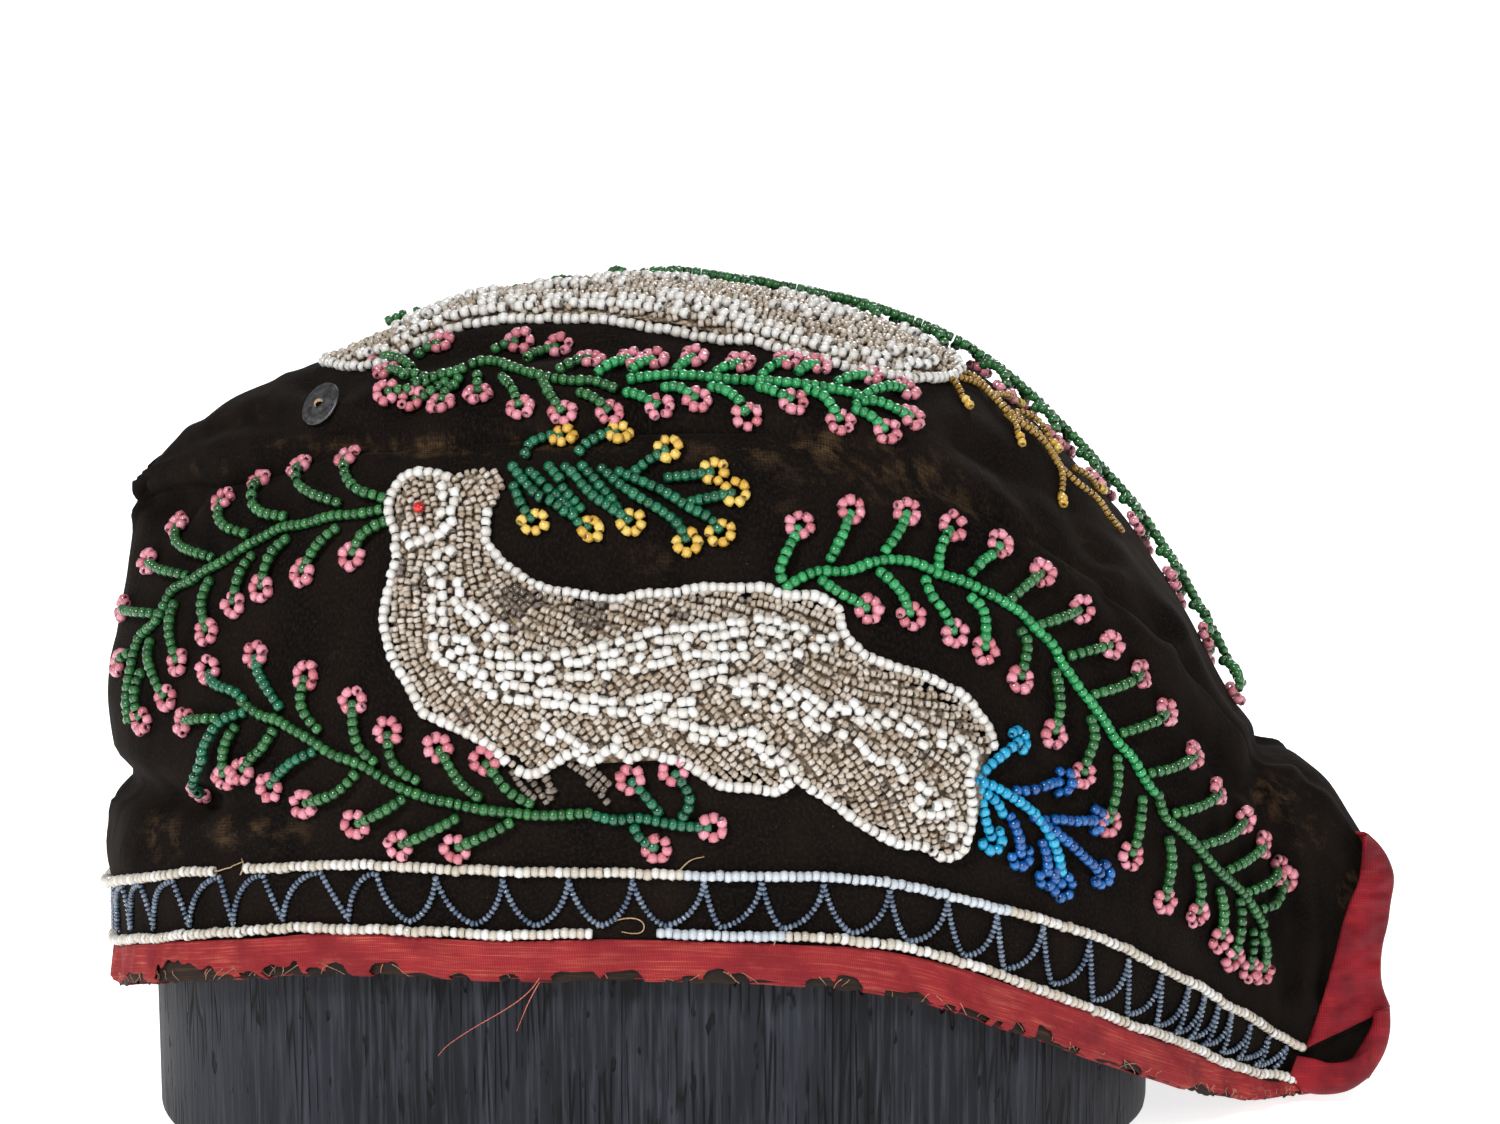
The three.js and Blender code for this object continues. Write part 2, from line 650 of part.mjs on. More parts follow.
function add(name, geometry, color, roughness, metalness = 0) {
  const mesh = new THREE.Mesh(geometry, new THREE.MeshStandardMaterial({ color, roughness, metalness }));
  mesh.name = name;
  cap.add(mesh);
  return mesh;
}

add('display_block', displayBlock(), BLOCK_COLOUR, 0.55);
add('crown_panel', crownPanel(), VELVET_COLOUR, 0.95);
add('edge_lining', liningStrip(), LINING_COLOUR, 0.9);
add('rim_binding', ribbonBinding(), RIBBON_COLOUR, 0.8);
add('bead_row_lower', beadRow(LOWER_ROW), WHITE_BEAD, 0.35);
add('bead_row_upper', beadRow(UPPER_ROW), WHITE_BEAD, 0.35);
add('zigzag_beads', zigzagString(), GREY_BEAD, 0.3);

const STEM_COLOURS = { crest_sprig: TEAL_BEAD, tail_sprig: BLUE_BEAD };
for (const [label, side] of [['near', -1], ['far', 1]]) {
  add(`side_panel_${label}`, sidePanel(side), VELVET_COLOUR, 0.95);
  add(`bird_${label}`, bird(SIDE_BIRD, side), WHITE_BEAD, 0.35);
  for (const [name, route] of Object.entries(SIDE_STEMS)) {
    add(`${name}_${label}`, stem(route, side), STEM_COLOURS[name] ?? GREEN_BEAD, 0.35);
  }
}
add('bird_top', bird(CROWN_BIRD, -1), WHITE_BEAD, 0.35);
for (const [name, route] of Object.entries(TOP_STEMS)) {
  add(name, stem(route, -1), GREEN_BEAD, 0.35);
}
add('golden_sprig', stem(GOLDEN_SPRIG, -1), GOLD_BEAD, 0.35);

const sequinMesh = add('sequin', sequin(), SEQUIN_COLOUR, 0.4, 0.6);
sequinMesh.position.copy(lifted(...SEQUIN_PLACE, SEAT));
sequinMesh.quaternion.setFromUnitVectors(
  new THREE.Vector3(0, 0, 1),
  normalOf(velvetPoint, ...SEQUIN_PLACE),
);

export default cap;
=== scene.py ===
"""Looks of a beaded velvet glengarry cap on its display block.

Lengths are millimetres until a mesh is made. Pixels are those of the 1500 x 1124 photograph.
Front of the cap towards -X, near side towards -Y, +Z up.
"""

import math

import bpy
import numpy as np
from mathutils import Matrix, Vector
from mathutils.bvhtree import BVHTree


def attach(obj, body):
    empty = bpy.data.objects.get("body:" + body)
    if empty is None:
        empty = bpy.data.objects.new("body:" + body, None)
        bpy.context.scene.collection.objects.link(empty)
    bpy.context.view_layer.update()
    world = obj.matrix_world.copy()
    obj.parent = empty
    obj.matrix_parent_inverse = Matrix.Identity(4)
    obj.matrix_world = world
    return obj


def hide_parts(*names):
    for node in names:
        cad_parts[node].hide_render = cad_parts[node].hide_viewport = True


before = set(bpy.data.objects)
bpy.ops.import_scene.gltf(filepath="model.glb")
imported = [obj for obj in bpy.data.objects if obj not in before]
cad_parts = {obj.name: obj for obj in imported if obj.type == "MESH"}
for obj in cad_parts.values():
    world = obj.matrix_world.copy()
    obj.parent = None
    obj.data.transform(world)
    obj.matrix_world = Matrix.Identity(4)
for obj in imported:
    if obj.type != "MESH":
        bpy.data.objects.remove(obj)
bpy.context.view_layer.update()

MM = 0.001
MIRROR = np.array([1.0, -1.0, 1.0])
RIGHT = np.array([1.0, 0.0, 0.0])

# Camera

IMAGE_WIDTH, IMAGE_HEIGHT = 1500, 1124
LENS, SENSOR = 85.0, 36.0
FOCAL = LENS / SENSOR * IMAGE_WIDTH
DISTANCE = 729.0
TARGET = np.array([0.0, 0.0, 113.6])
ELEVATION = math.radians(11.0)
AHEAD = np.array([0.0, math.cos(ELEVATION), -math.sin(ELEVATION)])
ABOVE = np.array([0.0, math.sin(ELEVATION), math.cos(ELEVATION)])
EYE = TARGET - AHEAD * DISTANCE


def add_camera():
    data = bpy.data.cameras.new("camera")
    data.lens = LENS
    data.sensor_width = SENSOR
    data.clip_start, data.clip_end = 0.05, 50.0
    camera = bpy.data.objects.new("camera", data)
    bpy.context.scene.collection.objects.link(camera)
    camera.location = Vector(EYE * MM)
    camera.rotation_euler = (math.pi / 2 - ELEVATION, 0.0, 0.0)
    bpy.context.scene.camera = camera


def project(points):
    """Pixels of points in space."""
    offset = np.asarray(points, float) - EYE
    depth = offset @ AHEAD
    return np.stack([
        IMAGE_WIDTH / 2 + FOCAL * offset[..., 0] / depth,
        IMAGE_HEIGHT / 2 - FOCAL * (offset @ ABOVE) / depth,
    ], -1)


def ray_through(pixel):
    heading = (
        AHEAD
        + RIGHT * (pixel[0] - IMAGE_WIDTH / 2) / FOCAL
        + ABOVE * (IMAGE_HEIGHT / 2 - pixel[1]) / FOCAL
    )
    return EYE, heading / np.linalg.norm(heading)


def ray_down(place):
    """The ray for a plan of the crown: place is x and y from above."""
    return np.array([place[0], place[1], 400.0]), np.array([0.0, 0.0, -1.0])


# The velvet's surface, from the same named values as the part's source

LENGTH, HALF_WIDTH, HEIGHT = 264.0, 70.5, 170.0
VELVET, LINING, LINING_GAP, GAP, RIBBON = 2.0, 1.0, 0.5, 0.3, 0.8
BINDING_RISE, VENT_BINDING = 7.0, 11.0
ROW_WIDTH, BAND_RISE = 2.4, 12.3
LOWER_ROW = BINDING_RISE + GAP + ROW_WIDTH / 2
UPPER_ROW = LOWER_ROW + BAND_RISE
ROW_END = 0.885
SECTIONS = np.array([
    # rimX rimY rimZ bulge seamX seamY seamZ ridgeX ridgeZ
    [0.002, 0.0, 0.159, 0.057, 0.025, 0.0, 0.747, 0.025, 0.747],
    [0.011, 0.255, 0.176, 0.064, 0.04, 0.113, 0.762, 0.044, 0.797],
    [0.042, 0.525, 0.212, 0.085, 0.08, 0.241, 0.776, 0.076, 0.841],
    [0.11, 0.738, 0.244, 0.113, 0.129, 0.369, 0.8, 0.121, 0.882],
    [0.205, 0.894, 0.271, 0.135, 0.208, 0.539, 0.841, 0.201, 0.926],
    [0.33, 0.986, 0.276, 0.142, 0.303, 0.624, 0.856, 0.295, 0.979],
    [0.47, 1.0, 0.276, 0.142, 0.424, 0.652, 0.868, 0.417, 1.0],
    [0.598, 0.943, 0.253, 0.135, 0.549, 0.652, 0.865, 0.545, 0.976],
    [0.697, 0.816, 0.191, 0.121, 0.644, 0.61, 0.794, 0.644, 0.926],
    [0.784, 0.61, 0.115, 0.099, 0.735, 0.525, 0.712, 0.735, 0.821],
    [0.852, 0.369, 0.053, 0.085, 0.814, 0.404, 0.609, 0.82, 0.662],
    [0.894, 0.227, 0.024, 0.05, 0.864, 0.291, 0.506, 0.871, 0.521],
    [0.924, 0.156, 0.018, 0.007, 0.898, 0.206, 0.429, 0.902, 0.447],
    [0.958, 0.121, 0.021, 0.0, 0.947, 0.142, 0.371, 0.951, 0.4],
    [0.992, 0.113, 0.041, 0.0, 0.998, 0.085, 0.276, 0.998, 0.3],
])
CROWN_WIDTH_SHARE, CROWN_RISE_SHARE = 0.52, 0.75
FOLD_WIDTH, FOLD_DEPTH = 6.0, 4.0
FOLDS = np.array([
    # along up endAlong endUp width depth
    [0.0, 0.45, 0.2, 0.36, 0.9, 1.1],
    [0.03, 0.62, 0.14, 0.58, 1.3, -0.4],
    [0.03, 0.27, 0.17, 0.22, 1.1, -0.4],
    [0.04, 0.98, 0.13, 0.95, 0.9, 0.7],
    [0.11, 0.96, 0.28, 1.04, 0.8, 0.5],
    [0.28, 1.04, 0.36, 1.22, 0.7, 0.6],
    [0.33, 1.52, 0.39, 1.46, 0.8, 0.5],
    [0.39, 1.46, 0.47, 1.22, 0.8, 0.4],
    [0.58, 1.24, 0.65, 1.36, 0.9, 0.5],
    [0.66, 1.2, 0.74, 1.05, 0.9, 0.5],
    [0.75, 0.8, 0.85, 0.86, 1.1, 0.7],
    [0.85, 0.5, 0.87, 0.8, 1.2, 0.5],
    [0.9, 0.35, 0.92, 0.75, 0.9, -0.3],
])
SIDE_BIRD = np.array([
    # backAlong backUp bellyAlong bellyUp
    [0.369, 0.925, 0.318, 0.91], [0.366, 0.88, 0.311, 0.87], [0.363, 0.835, 0.314, 0.82],
    [0.36, 0.8, 0.317, 0.775], [0.364, 0.765, 0.314, 0.72], [0.372, 0.74, 0.314, 0.66],
    [0.386, 0.703, 0.321, 0.583], [0.404, 0.69, 0.339, 0.495], [0.426, 0.705, 0.366, 0.422],
    [0.449, 0.71, 0.394, 0.4], [0.471, 0.693, 0.428, 0.408], [0.495, 0.68, 0.454, 0.385],
    [0.507, 0.618, 0.474, 0.362], [0.532, 0.6, 0.5, 0.32], [0.556, 0.585, 0.523, 0.283],
    [0.568, 0.547, 0.546, 0.31],
])
CROWN_BIRD = np.array([
    [0.266, 1.93, 0.264, 1.86], [0.283, 1.98, 0.28, 1.68], [0.302, 2.02, 0.299, 1.6],
    [0.319, 2.05, 0.319, 1.64], [0.333, 2.08, 0.336, 1.74], [0.355, 2.13, 0.356, 1.72],
    [0.38, 2.21, 0.382, 1.66], [0.41, 2.24, 0.412, 1.6], [0.445, 2.2, 0.447, 1.52],
    [0.475, 2.14, 0.477, 1.42], [0.505, 2.08, 0.505, 1.36], [0.53, 2.03, 0.532, 1.38],
    [0.556, 1.96, 0.558, 1.48], [0.58, 1.86, 0.583, 1.72],
])


def unit(vectors):
    length = np.linalg.norm(vectors, axis=-1, keepdims=True)
    return vectors / np.maximum(length, 1e-9)


def catmull(a, b, c, d, t):
    t = t[..., None]
    return 0.5 * (
        2 * b + (c - a) * t + (2 * a - 5 * b + 4 * c - d) * t**2 + (3 * b - a - 3 * c + d) * t**3
    )


def section_guides():
    size = np.array([LENGTH, -HALF_WIDTH, HEIGHT])
    middle = np.array([0.5, 0.0, 0.0])
    rim = (SECTIONS[:, 0:3] - middle) * size
    seam = (SECTIONS[:, 4:7] - middle) * size
    nothing = np.zeros(len(SECTIONS))
    ridge = (np.stack([SECTIONS[:, 7], nothing, SECTIONS[:, 8]], 1) - middle) * size
    middles = (rim + seam) / 2
    before = np.vstack([middles[1] * MIRROR, middles[:-1]])
    after = np.vstack([middles[1:], 2 * middles[-1] - middles[-2]])
    heading = after - before
    outward = unit(np.stack([heading[:, 1], -heading[:, 0], nothing], 1))
    belly = middles + outward * SECTIONS[:, 3:4] * HALF_WIDTH
    crown = np.stack([
        ridge[:, 0] + (seam[:, 0] - ridge[:, 0]) * CROWN_WIDTH_SHARE,
        seam[:, 1] * CROWN_WIDTH_SHARE,
        seam[:, 2] + (ridge[:, 2] - seam[:, 2]) * CROWN_RISE_SHARE,
    ], 1)
    guides = np.stack([rim, belly, seam, crown, ridge], 1)
    return np.concatenate([guides[1:2] * MIRROR, guides, (2 * guides[-1] - guides[-2])[None]])


GUIDES = section_guides()


def near_up(up):
    return np.where(up > 2, 4 - up, up)


def smooth_point(along, up):
    along, up = np.broadcast_arrays(np.asarray(along, float), np.asarray(up, float))
    spans = len(SECTIONS) - 1
    place = np.clip(along, 0, 1) * spans
    i = np.minimum(np.floor(place).astype(int), spans - 1)
    rim, belly, seam, crown, ridge = (
        catmull(*(GUIDES[i + k, g] for k in range(4)), place - i) for g in range(5)
    )
    line = np.stack([2 * rim - belly, rim, belly, seam, crown, ridge, crown * MIRROR])
    place = np.clip(near_up(up) * 2, 0, 4)
    j = np.minimum(np.floor(place).astype(int), 3)
    cell = np.indices(j.shape)
    point = catmull(*(line[(j + k, *cell)] for k in range(4)), place - j)
    return np.where((up > 2)[..., None], point * MIRROR, point)


def normal_of(point_at, along, up):
    step = 0.003
    along, up = np.broadcast_arrays(np.asarray(along, float), np.asarray(up, float))
    forward = point_at(np.minimum(along + step, 1), up) - point_at(np.maximum(along - step, 0), up)
    forward[..., 0] = np.where(along < step, 0, forward[..., 0])
    upward = point_at(along, up + step) - point_at(along, up - step)
    return unit(np.cross(forward, upward))


CLOTH_RUN = 1.24  # length of the opened-out cloth, as a share of the cap's
CLOTH_SIDE, CLOTH_TOP = 0.58, 0.26  # its rise up a side and over half the crown, as shares of the height


def cloth_place(along, up):
    """Millimetres on the opened-out cloth."""
    low = near_up(np.asarray(up, float))
    rise = np.minimum(low, 1) * CLOTH_SIDE * HEIGHT + np.maximum(low - 1, 0) * CLOTH_TOP * HEIGHT
    return np.stack(np.broadcast_arrays(np.asarray(along, float) * CLOTH_RUN * LENGTH, rise), -1)


def fold_depth(along, up):
    here = cloth_place(along, up)
    depth = np.zeros(here.shape[:-1])
    for fold in FOLDS:
        start = cloth_place(fold[0], fold[1])
        run = cloth_place(fold[2], fold[3]) - start
        share = np.clip((here - start) @ run / (run @ run), 0, 1)
        distance = np.linalg.norm(here - start - share[..., None] * run, axis=-1)
        depth += fold[5] * FOLD_DEPTH * np.exp(-((distance / (fold[4] * FOLD_WIDTH)) ** 2))
    return depth


def velvet_point(along, up):
    along, up = np.broadcast_arrays(np.asarray(along, float), np.asarray(up, float))
    depth = fold_depth(along, up)[..., None]
    return smooth_point(along, up) - normal_of(smooth_point, along, up) * depth


def lifted(along, up, height):
    height = np.asarray(height, float)[..., None]
    return velvet_point(along, up) + normal_of(velvet_point, along, up) * height


def up_share(along, up, distance):
    step = 0.01
    low = max(up - step, 0)
    span = np.linalg.norm(smooth_point(along, up + step) - smooth_point(along, low), axis=-1)
    return distance * (up + step - low) / span


def along_share(along, up, distance):
    step = 0.01
    low, high = max(along - step, 0), min(along + step, 1)
    span = np.linalg.norm(smooth_point(high, up) - smooth_point(low, up), axis=-1)
    return distance * (high - low) / span


# Chance, always from one seed for each use

def chance(seed):
    return np.random.default_rng(seed)


NOISE_PRIMES = (73856093, 19349663, 83492791)
NOISE_VALUES = 4096


def value_noise(points, size, seed):
    """Smooth noise from -1 to 1 whose lumps are about size across."""
    table = chance(seed).uniform(-1, 1, NOISE_VALUES)
    place = np.asarray(points, float) / size
    cell = np.floor(place).astype(np.int64)
    share = place - cell
    share = share * share * (3 - 2 * share)
    total = np.zeros(place.shape[:-1])
    for corner in np.ndindex(*(2,) * place.shape[-1]):
        at = cell + np.array(corner)
        key = sum(at[..., k] * prime for k, prime in enumerate(NOISE_PRIMES[:len(corner)]))
        weight = np.prod(np.where(np.array(corner) == 1, share, 1 - share), -1)
        total += weight * table[key % NOISE_VALUES]
    return total


# Meshes

def grid_quads(index):
    return np.stack([index[:-1, :-1], index[1:, :-1], index[1:, 1:], index[:-1, 1:]], -1).reshape(-1, 4)


def numbered(rows, columns):
    """The numbers of the points of a grid."""
    return np.arange(rows * columns).reshape(rows, columns)


def round_quads(index):
    """Faces of a grid whose rows close into rings."""
    return grid_quads(np.concatenate([index, index[:, :1]], 1))


def shell_quads(rows, columns):
    """A closed shell between two grids, the outer one first."""
    index = numbered(rows, columns)
    border = np.concatenate([index[0], index[1:, -1], index[-1, -2::-1], index[-2:0:-1, 0]])
    beyond = np.roll(border, -1)
    count = rows * columns
    return np.concatenate([
        grid_quads(index),
        grid_quads(index + count)[:, ::-1],
        np.stack([border, beyond, beyond + count, border + count], 1),
    ])


def joined(parts):
    """One mesh of several, each of them points and quads."""
    starts = np.cumsum([0] + [len(points) for points, _ in parts[:-1]])
    return (
        np.concatenate([points for points, _ in parts]),
        np.concatenate([quads + start for (_, quads), start in zip(parts, starts)]),
    )


def facing_out(points, quads):
    corners = points[quads]
    normals = np.cross(corners[:, 2] - corners[:, 0], corners[:, 3] - corners[:, 1])
    volume = np.einsum("ij,ij->", corners.mean(1), normals)
    return quads if volume > 0 else quads[:, ::-1]


def add_piece(name, points, quads, materials, slot=None, nodes=(), face_material=None, **attributes):
    """Makes one mesh of quads and lets it ride on the frame."""
    points = np.asarray(points, np.float32).reshape(-1, 3)
    mesh = bpy.data.meshes.new(name)
    mesh.vertices.add(len(points))
    mesh.vertices.foreach_set("co", (points * MM).ravel())
    mesh.loops.add(quads.size)
    mesh.loops.foreach_set("vertex_index", quads.astype(np.int32).ravel())
    mesh.polygons.add(len(quads))
    mesh.polygons.foreach_set("loop_start", np.arange(0, quads.size, 4, dtype=np.int32))
    for material in materials:
        mesh.materials.append(material)
    if face_material is not None:
        mesh.polygons.foreach_set("material_index", np.asarray(face_material, np.int32))
    mesh.polygons.foreach_set("use_smooth", np.ones(len(quads), bool))
    mesh.update(calc_edges=True)
    for key, values in attributes.items():
        values = np.asarray(values, np.float32)
        kind = "FLOAT_VECTOR" if values.ndim == 2 else "FLOAT"
        layer = mesh.attributes.new(key, kind, "POINT")
        layer.data.foreach_set("vector" if values.ndim == 2 else "value", values.ravel())
    piece = bpy.data.objects.new(name, mesh)
    bpy.context.scene.collection.objects.link(piece)
    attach(piece, "root")
    if nodes:
        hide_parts(*nodes)
    return piece


# Materials

class Finish:
    """A material whose nodes are added around one Principled shader."""

    def __init__(self, name, **settings):
        self.material = bpy.data.materials.new(name)
        self.material.use_nodes = True
        self.tree = self.material.node_tree
        self.shader = self.tree.nodes["Principled BSDF"]
        self.space = self.tree.nodes.new("ShaderNodeTexCoord").outputs["Object"]
        for key, value in settings.items():
            self.shader.inputs[key.replace("_", " ")].default_value = value

    def node(self, kind, inputs, **settings):
        node = self.tree.nodes.new("ShaderNode" + kind)
        for key, value in settings.items():
            setattr(node, key, value)
        for key, value in inputs.items():
            if isinstance(value, bpy.types.NodeSocket):
                self.tree.links.new(value, node.inputs[key])
            else:
                node.inputs[key].default_value = value
        return node

    def stretched(self, scale, vector=None):
        return self.node("Mapping", {"Vector": vector or self.space, "Scale": scale}).outputs[0]

    def noise(self, scale, detail=3.0, vector=None, roughness=0.55):
        return self.node("TexNoise", {
            "Vector": vector or self.space, "Scale": scale, "Detail": detail, "Roughness": roughness,
        }).outputs["Fac"]

    def attribute(self, name, vector=False):
        node = self.node("Attribute", {}, attribute_name=name)
        return node.outputs["Vector" if vector else "Fac"]

    def ramp(self, value, low, high, to_low=0.0, to_high=1.0):
        return self.node("MapRange", {
            "Value": value, "From Min": low, "From Max": high, "To Min": to_low, "To Max": to_high,
        }).outputs[0]

    def combined(self, kind, a, b):
        return self.node("Math", {0: a, 1: b}, operation=kind).outputs[0]

    def grey(self, shade):
        return self.node("CombineColor", {0: shade, 1: shade, 2: shade}).outputs[0]

    def wave(self, vector, direction, scale, distortion, detail, detail_scale=1.0):
        return self.node("TexWave", {
            "Vector": vector, "Scale": scale, "Distortion": distortion, "Detail": detail,
            "Detail Scale": detail_scale,
        }, bands_direction=direction).outputs["Fac"]

    def mix(self, share, a, b, blend="MIX"):
        node = self.tree.nodes.new("ShaderNodeMix")
        node.data_type = "RGBA"
        node.blend_type = blend
        for socket, value in ((node.inputs[0], share), (node.inputs[6], a), (node.inputs[7], b)):
            if isinstance(value, bpy.types.NodeSocket):
                self.tree.links.new(value, socket)
            else:
                socket.default_value = value if not hasattr(value, "__len__") else (*value[:3], 1.0)
        return node.outputs[2]

    def set(self, key, value):
        self.tree.links.new(value, self.shader.inputs[key])

    def bump(self, *layers):
        """Layers of height, each with its strength and its depth in millimetres."""
        normal = None
        for height, strength, depth in layers:
            inputs = {"Height": height, "Strength": strength, "Distance": depth * MM}
            if normal is not None:
                inputs["Normal"] = normal
            normal = self.node("Bump", inputs).outputs[0]
        self.set("Normal", normal)


HOLE_SHADE_AND_GRIME = 0.45  # what is left of a bead's colour round its hole, darkened there by painted shade between the beads and by grime


def bead_glass(name, low, high, clear=0.0, gloss=0.12):
    """Bead glass between two colours. Each bead has its tint, and round its hole it darkens with painted
    shade and grime.
    """
    finish = Finish(name, Roughness=gloss, IOR=1.5, Coat_Weight=0.6, Coat_Roughness=0.05,
                    Transmission_Weight=clear)
    colour = finish.mix(finish.attribute("tint"), low, high)
    # painted shade and grime: the colour darkens towards the bead's hole, where its neighbours meet it
    hole_shade_and_grime = finish.ramp(finish.attribute("round"), 0.35, 0.95, HOLE_SHADE_AND_GRIME, 1.0)
    mottle = finish.ramp(finish.noise(2600.0, 2.0), 0.3, 0.7, 0.86, 1.0)
    shade = finish.combined("MULTIPLY", hole_shade_and_grime, mottle)
    finish.set("Base Color", finish.mix(1.0, colour, finish.grey(shade), "MULTIPLY"))
    finish.set("Roughness", finish.ramp(finish.noise(1400.0, 2.0), 0.3, 0.75, gloss, gloss + 0.14))
    finish.bump((finish.noise(1700.0, 2.0), 0.25, 0.15))
    return finish.material


def velvet_cloth():
    finish = Finish("velvet", Roughness=0.92, Sheen_Weight=0.05, Sheen_Roughness=0.34,
                    Sheen_Tint=(0.5, 0.4, 0.34, 1.0), Specular_IOR_Level=0.08)
    cloth = finish.attribute("cloth", vector=True)
    pile = finish.noise(2.4, 4.0, finish.stretched((1.0, 0.55, 1.0), cloth))
    streaks = finish.noise(0.09, 4.0, finish.stretched((1.0, 0.45, 1.0), cloth))
    ribs = finish.wave(cloth, "X", 0.62, 2.5, 3.0, 1.4)
    picks = finish.wave(cloth, "Y", 0.5, 2.5, 3.0)
    weave = finish.combined("MULTIPLY", ribs, picks)
    deep = finish.mix(finish.ramp(streaks, 0.35, 0.68), (0.0016, 0.0012, 0.0011), (0.0075, 0.0048, 0.0034))
    fuzzy = finish.mix(finish.ramp(pile, 0.45, 0.85), deep, (0.017, 0.0112, 0.008))
    patches = finish.noise(0.16, 5.0, cloth, 0.7)
    wear = finish.attribute("wear")
    worn = finish.ramp(finish.combined("MULTIPLY", wear, finish.ramp(patches, 0.42, 0.68)), 0.12, 1.0)
    blotches = finish.ramp(finish.noise(0.5, 5.0, cloth, 0.75), 0.35, 0.7)
    mottled = finish.mix(blotches, (0.022, 0.012, 0.006), (0.11, 0.062, 0.028))
    backing = finish.mix(weave, mottled, (0.13, 0.08, 0.04))
    lint = finish.ramp(finish.noise(2.3, 2.0, cloth), 0.71, 0.78)
    finish.set("Base Color", finish.mix(lint, finish.mix(worn, fuzzy, backing), (0.07, 0.06, 0.055)))
    finish.bump((weave, 0.25, 0.1), (pile, 0.6, 0.3), (streaks, 0.6, 1.6))
    return finish.material


def woven_cloth(name, low, high, faded, pitch, depth=0.12, sheen=0.2):
    """Plain weave, its gaps between threads darkened as painted shade. faded is the colour of its rubbed
    threads.
    """
    finish = Finish(name, Roughness=0.72, Sheen_Weight=sheen, Sheen_Roughness=0.4,
                    Sheen_Tint=(*high, 1.0), Specular_IOR_Level=0.25)
    cloth = finish.attribute("cloth", vector=True)
    warp = finish.wave(cloth, "X", pitch, 0.5, 2.0)
    weft = finish.wave(cloth, "Y", pitch * 1.15, 0.5, 2.0)
    weave = finish.combined("MAXIMUM", warp, weft)
    threads = finish.noise(1.0, 3.0, finish.stretched((0.09, 2.6, 1.0), cloth), 0.7)
    patches = finish.noise(0.13, 3.0, cloth)
    base = finish.mix(finish.ramp(patches, 0.35, 0.65), low, high)
    bared = finish.ramp(patches, 0.4, 0.62, 0.12, 1.0)
    rubbed = finish.combined("MULTIPLY", finish.ramp(threads, 0.5, 0.74), bared)
    colour = finish.mix(rubbed, base, faded)
    # painted shade: the gaps between the threads of the weave are darkened
    shade = finish.ramp(weave, 0.3, 1.0, 0.55, 1.0)
    finish.set("Base Color", finish.mix(1.0, colour, finish.grey(shade), "MULTIPLY"))
    finish.bump((weave, 0.6, depth), (threads, 0.4, depth), (finish.noise(0.5, 3.0, cloth), 0.4, 0.5))
    return finish.material


def bird_padding():
    """Stitches and small clear beads between the strings, as lumps of beige with painted shade between them.
    """
    finish = Finish("padding", Roughness=0.45)
    lumps = finish.node("TexVoronoi", {"Vector": finish.space, "Scale": 820.0}).outputs["Distance"]
    patches = finish.noise(260.0, 3.0)
    low = finish.mix(finish.ramp(patches, 0.35, 0.65), (0.3, 0.22, 0.15), (0.5, 0.4, 0.3))
    # painted shade: dark brown between the lumps, where shade falls between the beads
    finish.set("Base Color", finish.mix(finish.ramp(lumps, 0.25, 0.6), low, (0.13, 0.09, 0.055)))
    finish.bump((finish.ramp(lumps, 0.0, 0.7, 1.0, 0.0), 0.9, 0.6))
    return finish.material


def stained_wood():
    finish = Finish("block_wood", Roughness=0.5, Specular_IOR_Level=0.16)
    grain = finish.noise(900.0, 4.0, finish.stretched((1.0, 1.0, 0.035)), 0.65)
    bands = finish.noise(60.0, 3.0, finish.stretched((1.0, 1.0, 0.12)))
    cracks = finish.node("TexVoronoi", {
        "Vector": finish.stretched((1.0, 1.0, 0.05)), "Scale": 520.0, "Randomness": 1.0,
    }, feature="DISTANCE_TO_EDGE").outputs["Distance"]
    where = finish.ramp(finish.noise(95.0, 3.0, finish.stretched((1.0, 1.0, 0.4))), 0.5, 0.58)
    split = finish.combined("MULTIPLY", finish.ramp(cracks, 0.0, 0.09, 1.0, 0.0), where)
    pits = finish.ramp(finish.noise(420.0, 2.0, finish.stretched((1.0, 1.0, 0.3))), 0.66, 0.72)
    hollow = finish.combined("MAXIMUM", split, pits)
    paint = finish.mix(finish.ramp(bands, 0.35, 0.65), (0.004, 0.0045, 0.0065), (0.015, 0.0165, 0.023))
    paint = finish.mix(finish.ramp(grain, 0.46, 0.72, 0.0, 0.8), paint, (0.05, 0.055, 0.068))
    finish.set("Base Color", finish.mix(hollow, paint, (0.0025, 0.0025, 0.003)))
    finish.set("Roughness", finish.ramp(grain, 0.3, 0.7, 0.42, 0.66))
    inverse = finish.combined("SUBTRACT", 1.0, hollow)
    finish.bump((grain, 0.7, 0.35), (inverse, 0.9, 0.6), (bands, 0.4, 1.0))
    return finish.material


def dark_metal():
    finish = Finish("sequin_metal", Metallic=0.85, Roughness=0.4)
    tarnish = finish.noise(700.0, 5.0, None, 0.7)
    colour = finish.mix(finish.ramp(tarnish, 0.35, 0.7), (0.035, 0.035, 0.038), (0.16, 0.16, 0.165))
    finish.set("Base Color", colour)
    finish.set("Roughness", finish.ramp(tarnish, 0.3, 0.7, 0.3, 0.6))
    finish.bump((tarnish, 0.3, 0.1))
    return finish.material


def cotton_thread(name, low, high):
    finish = Finish(name, Roughness=0.8, Sheen_Weight=0.3)
    twist = finish.noise(3800.0, 2.0)
    finish.set("Base Color", finish.mix(finish.ramp(twist, 0.35, 0.65), low, high))
    finish.bump((twist, 0.5, 0.08))
    return finish.material


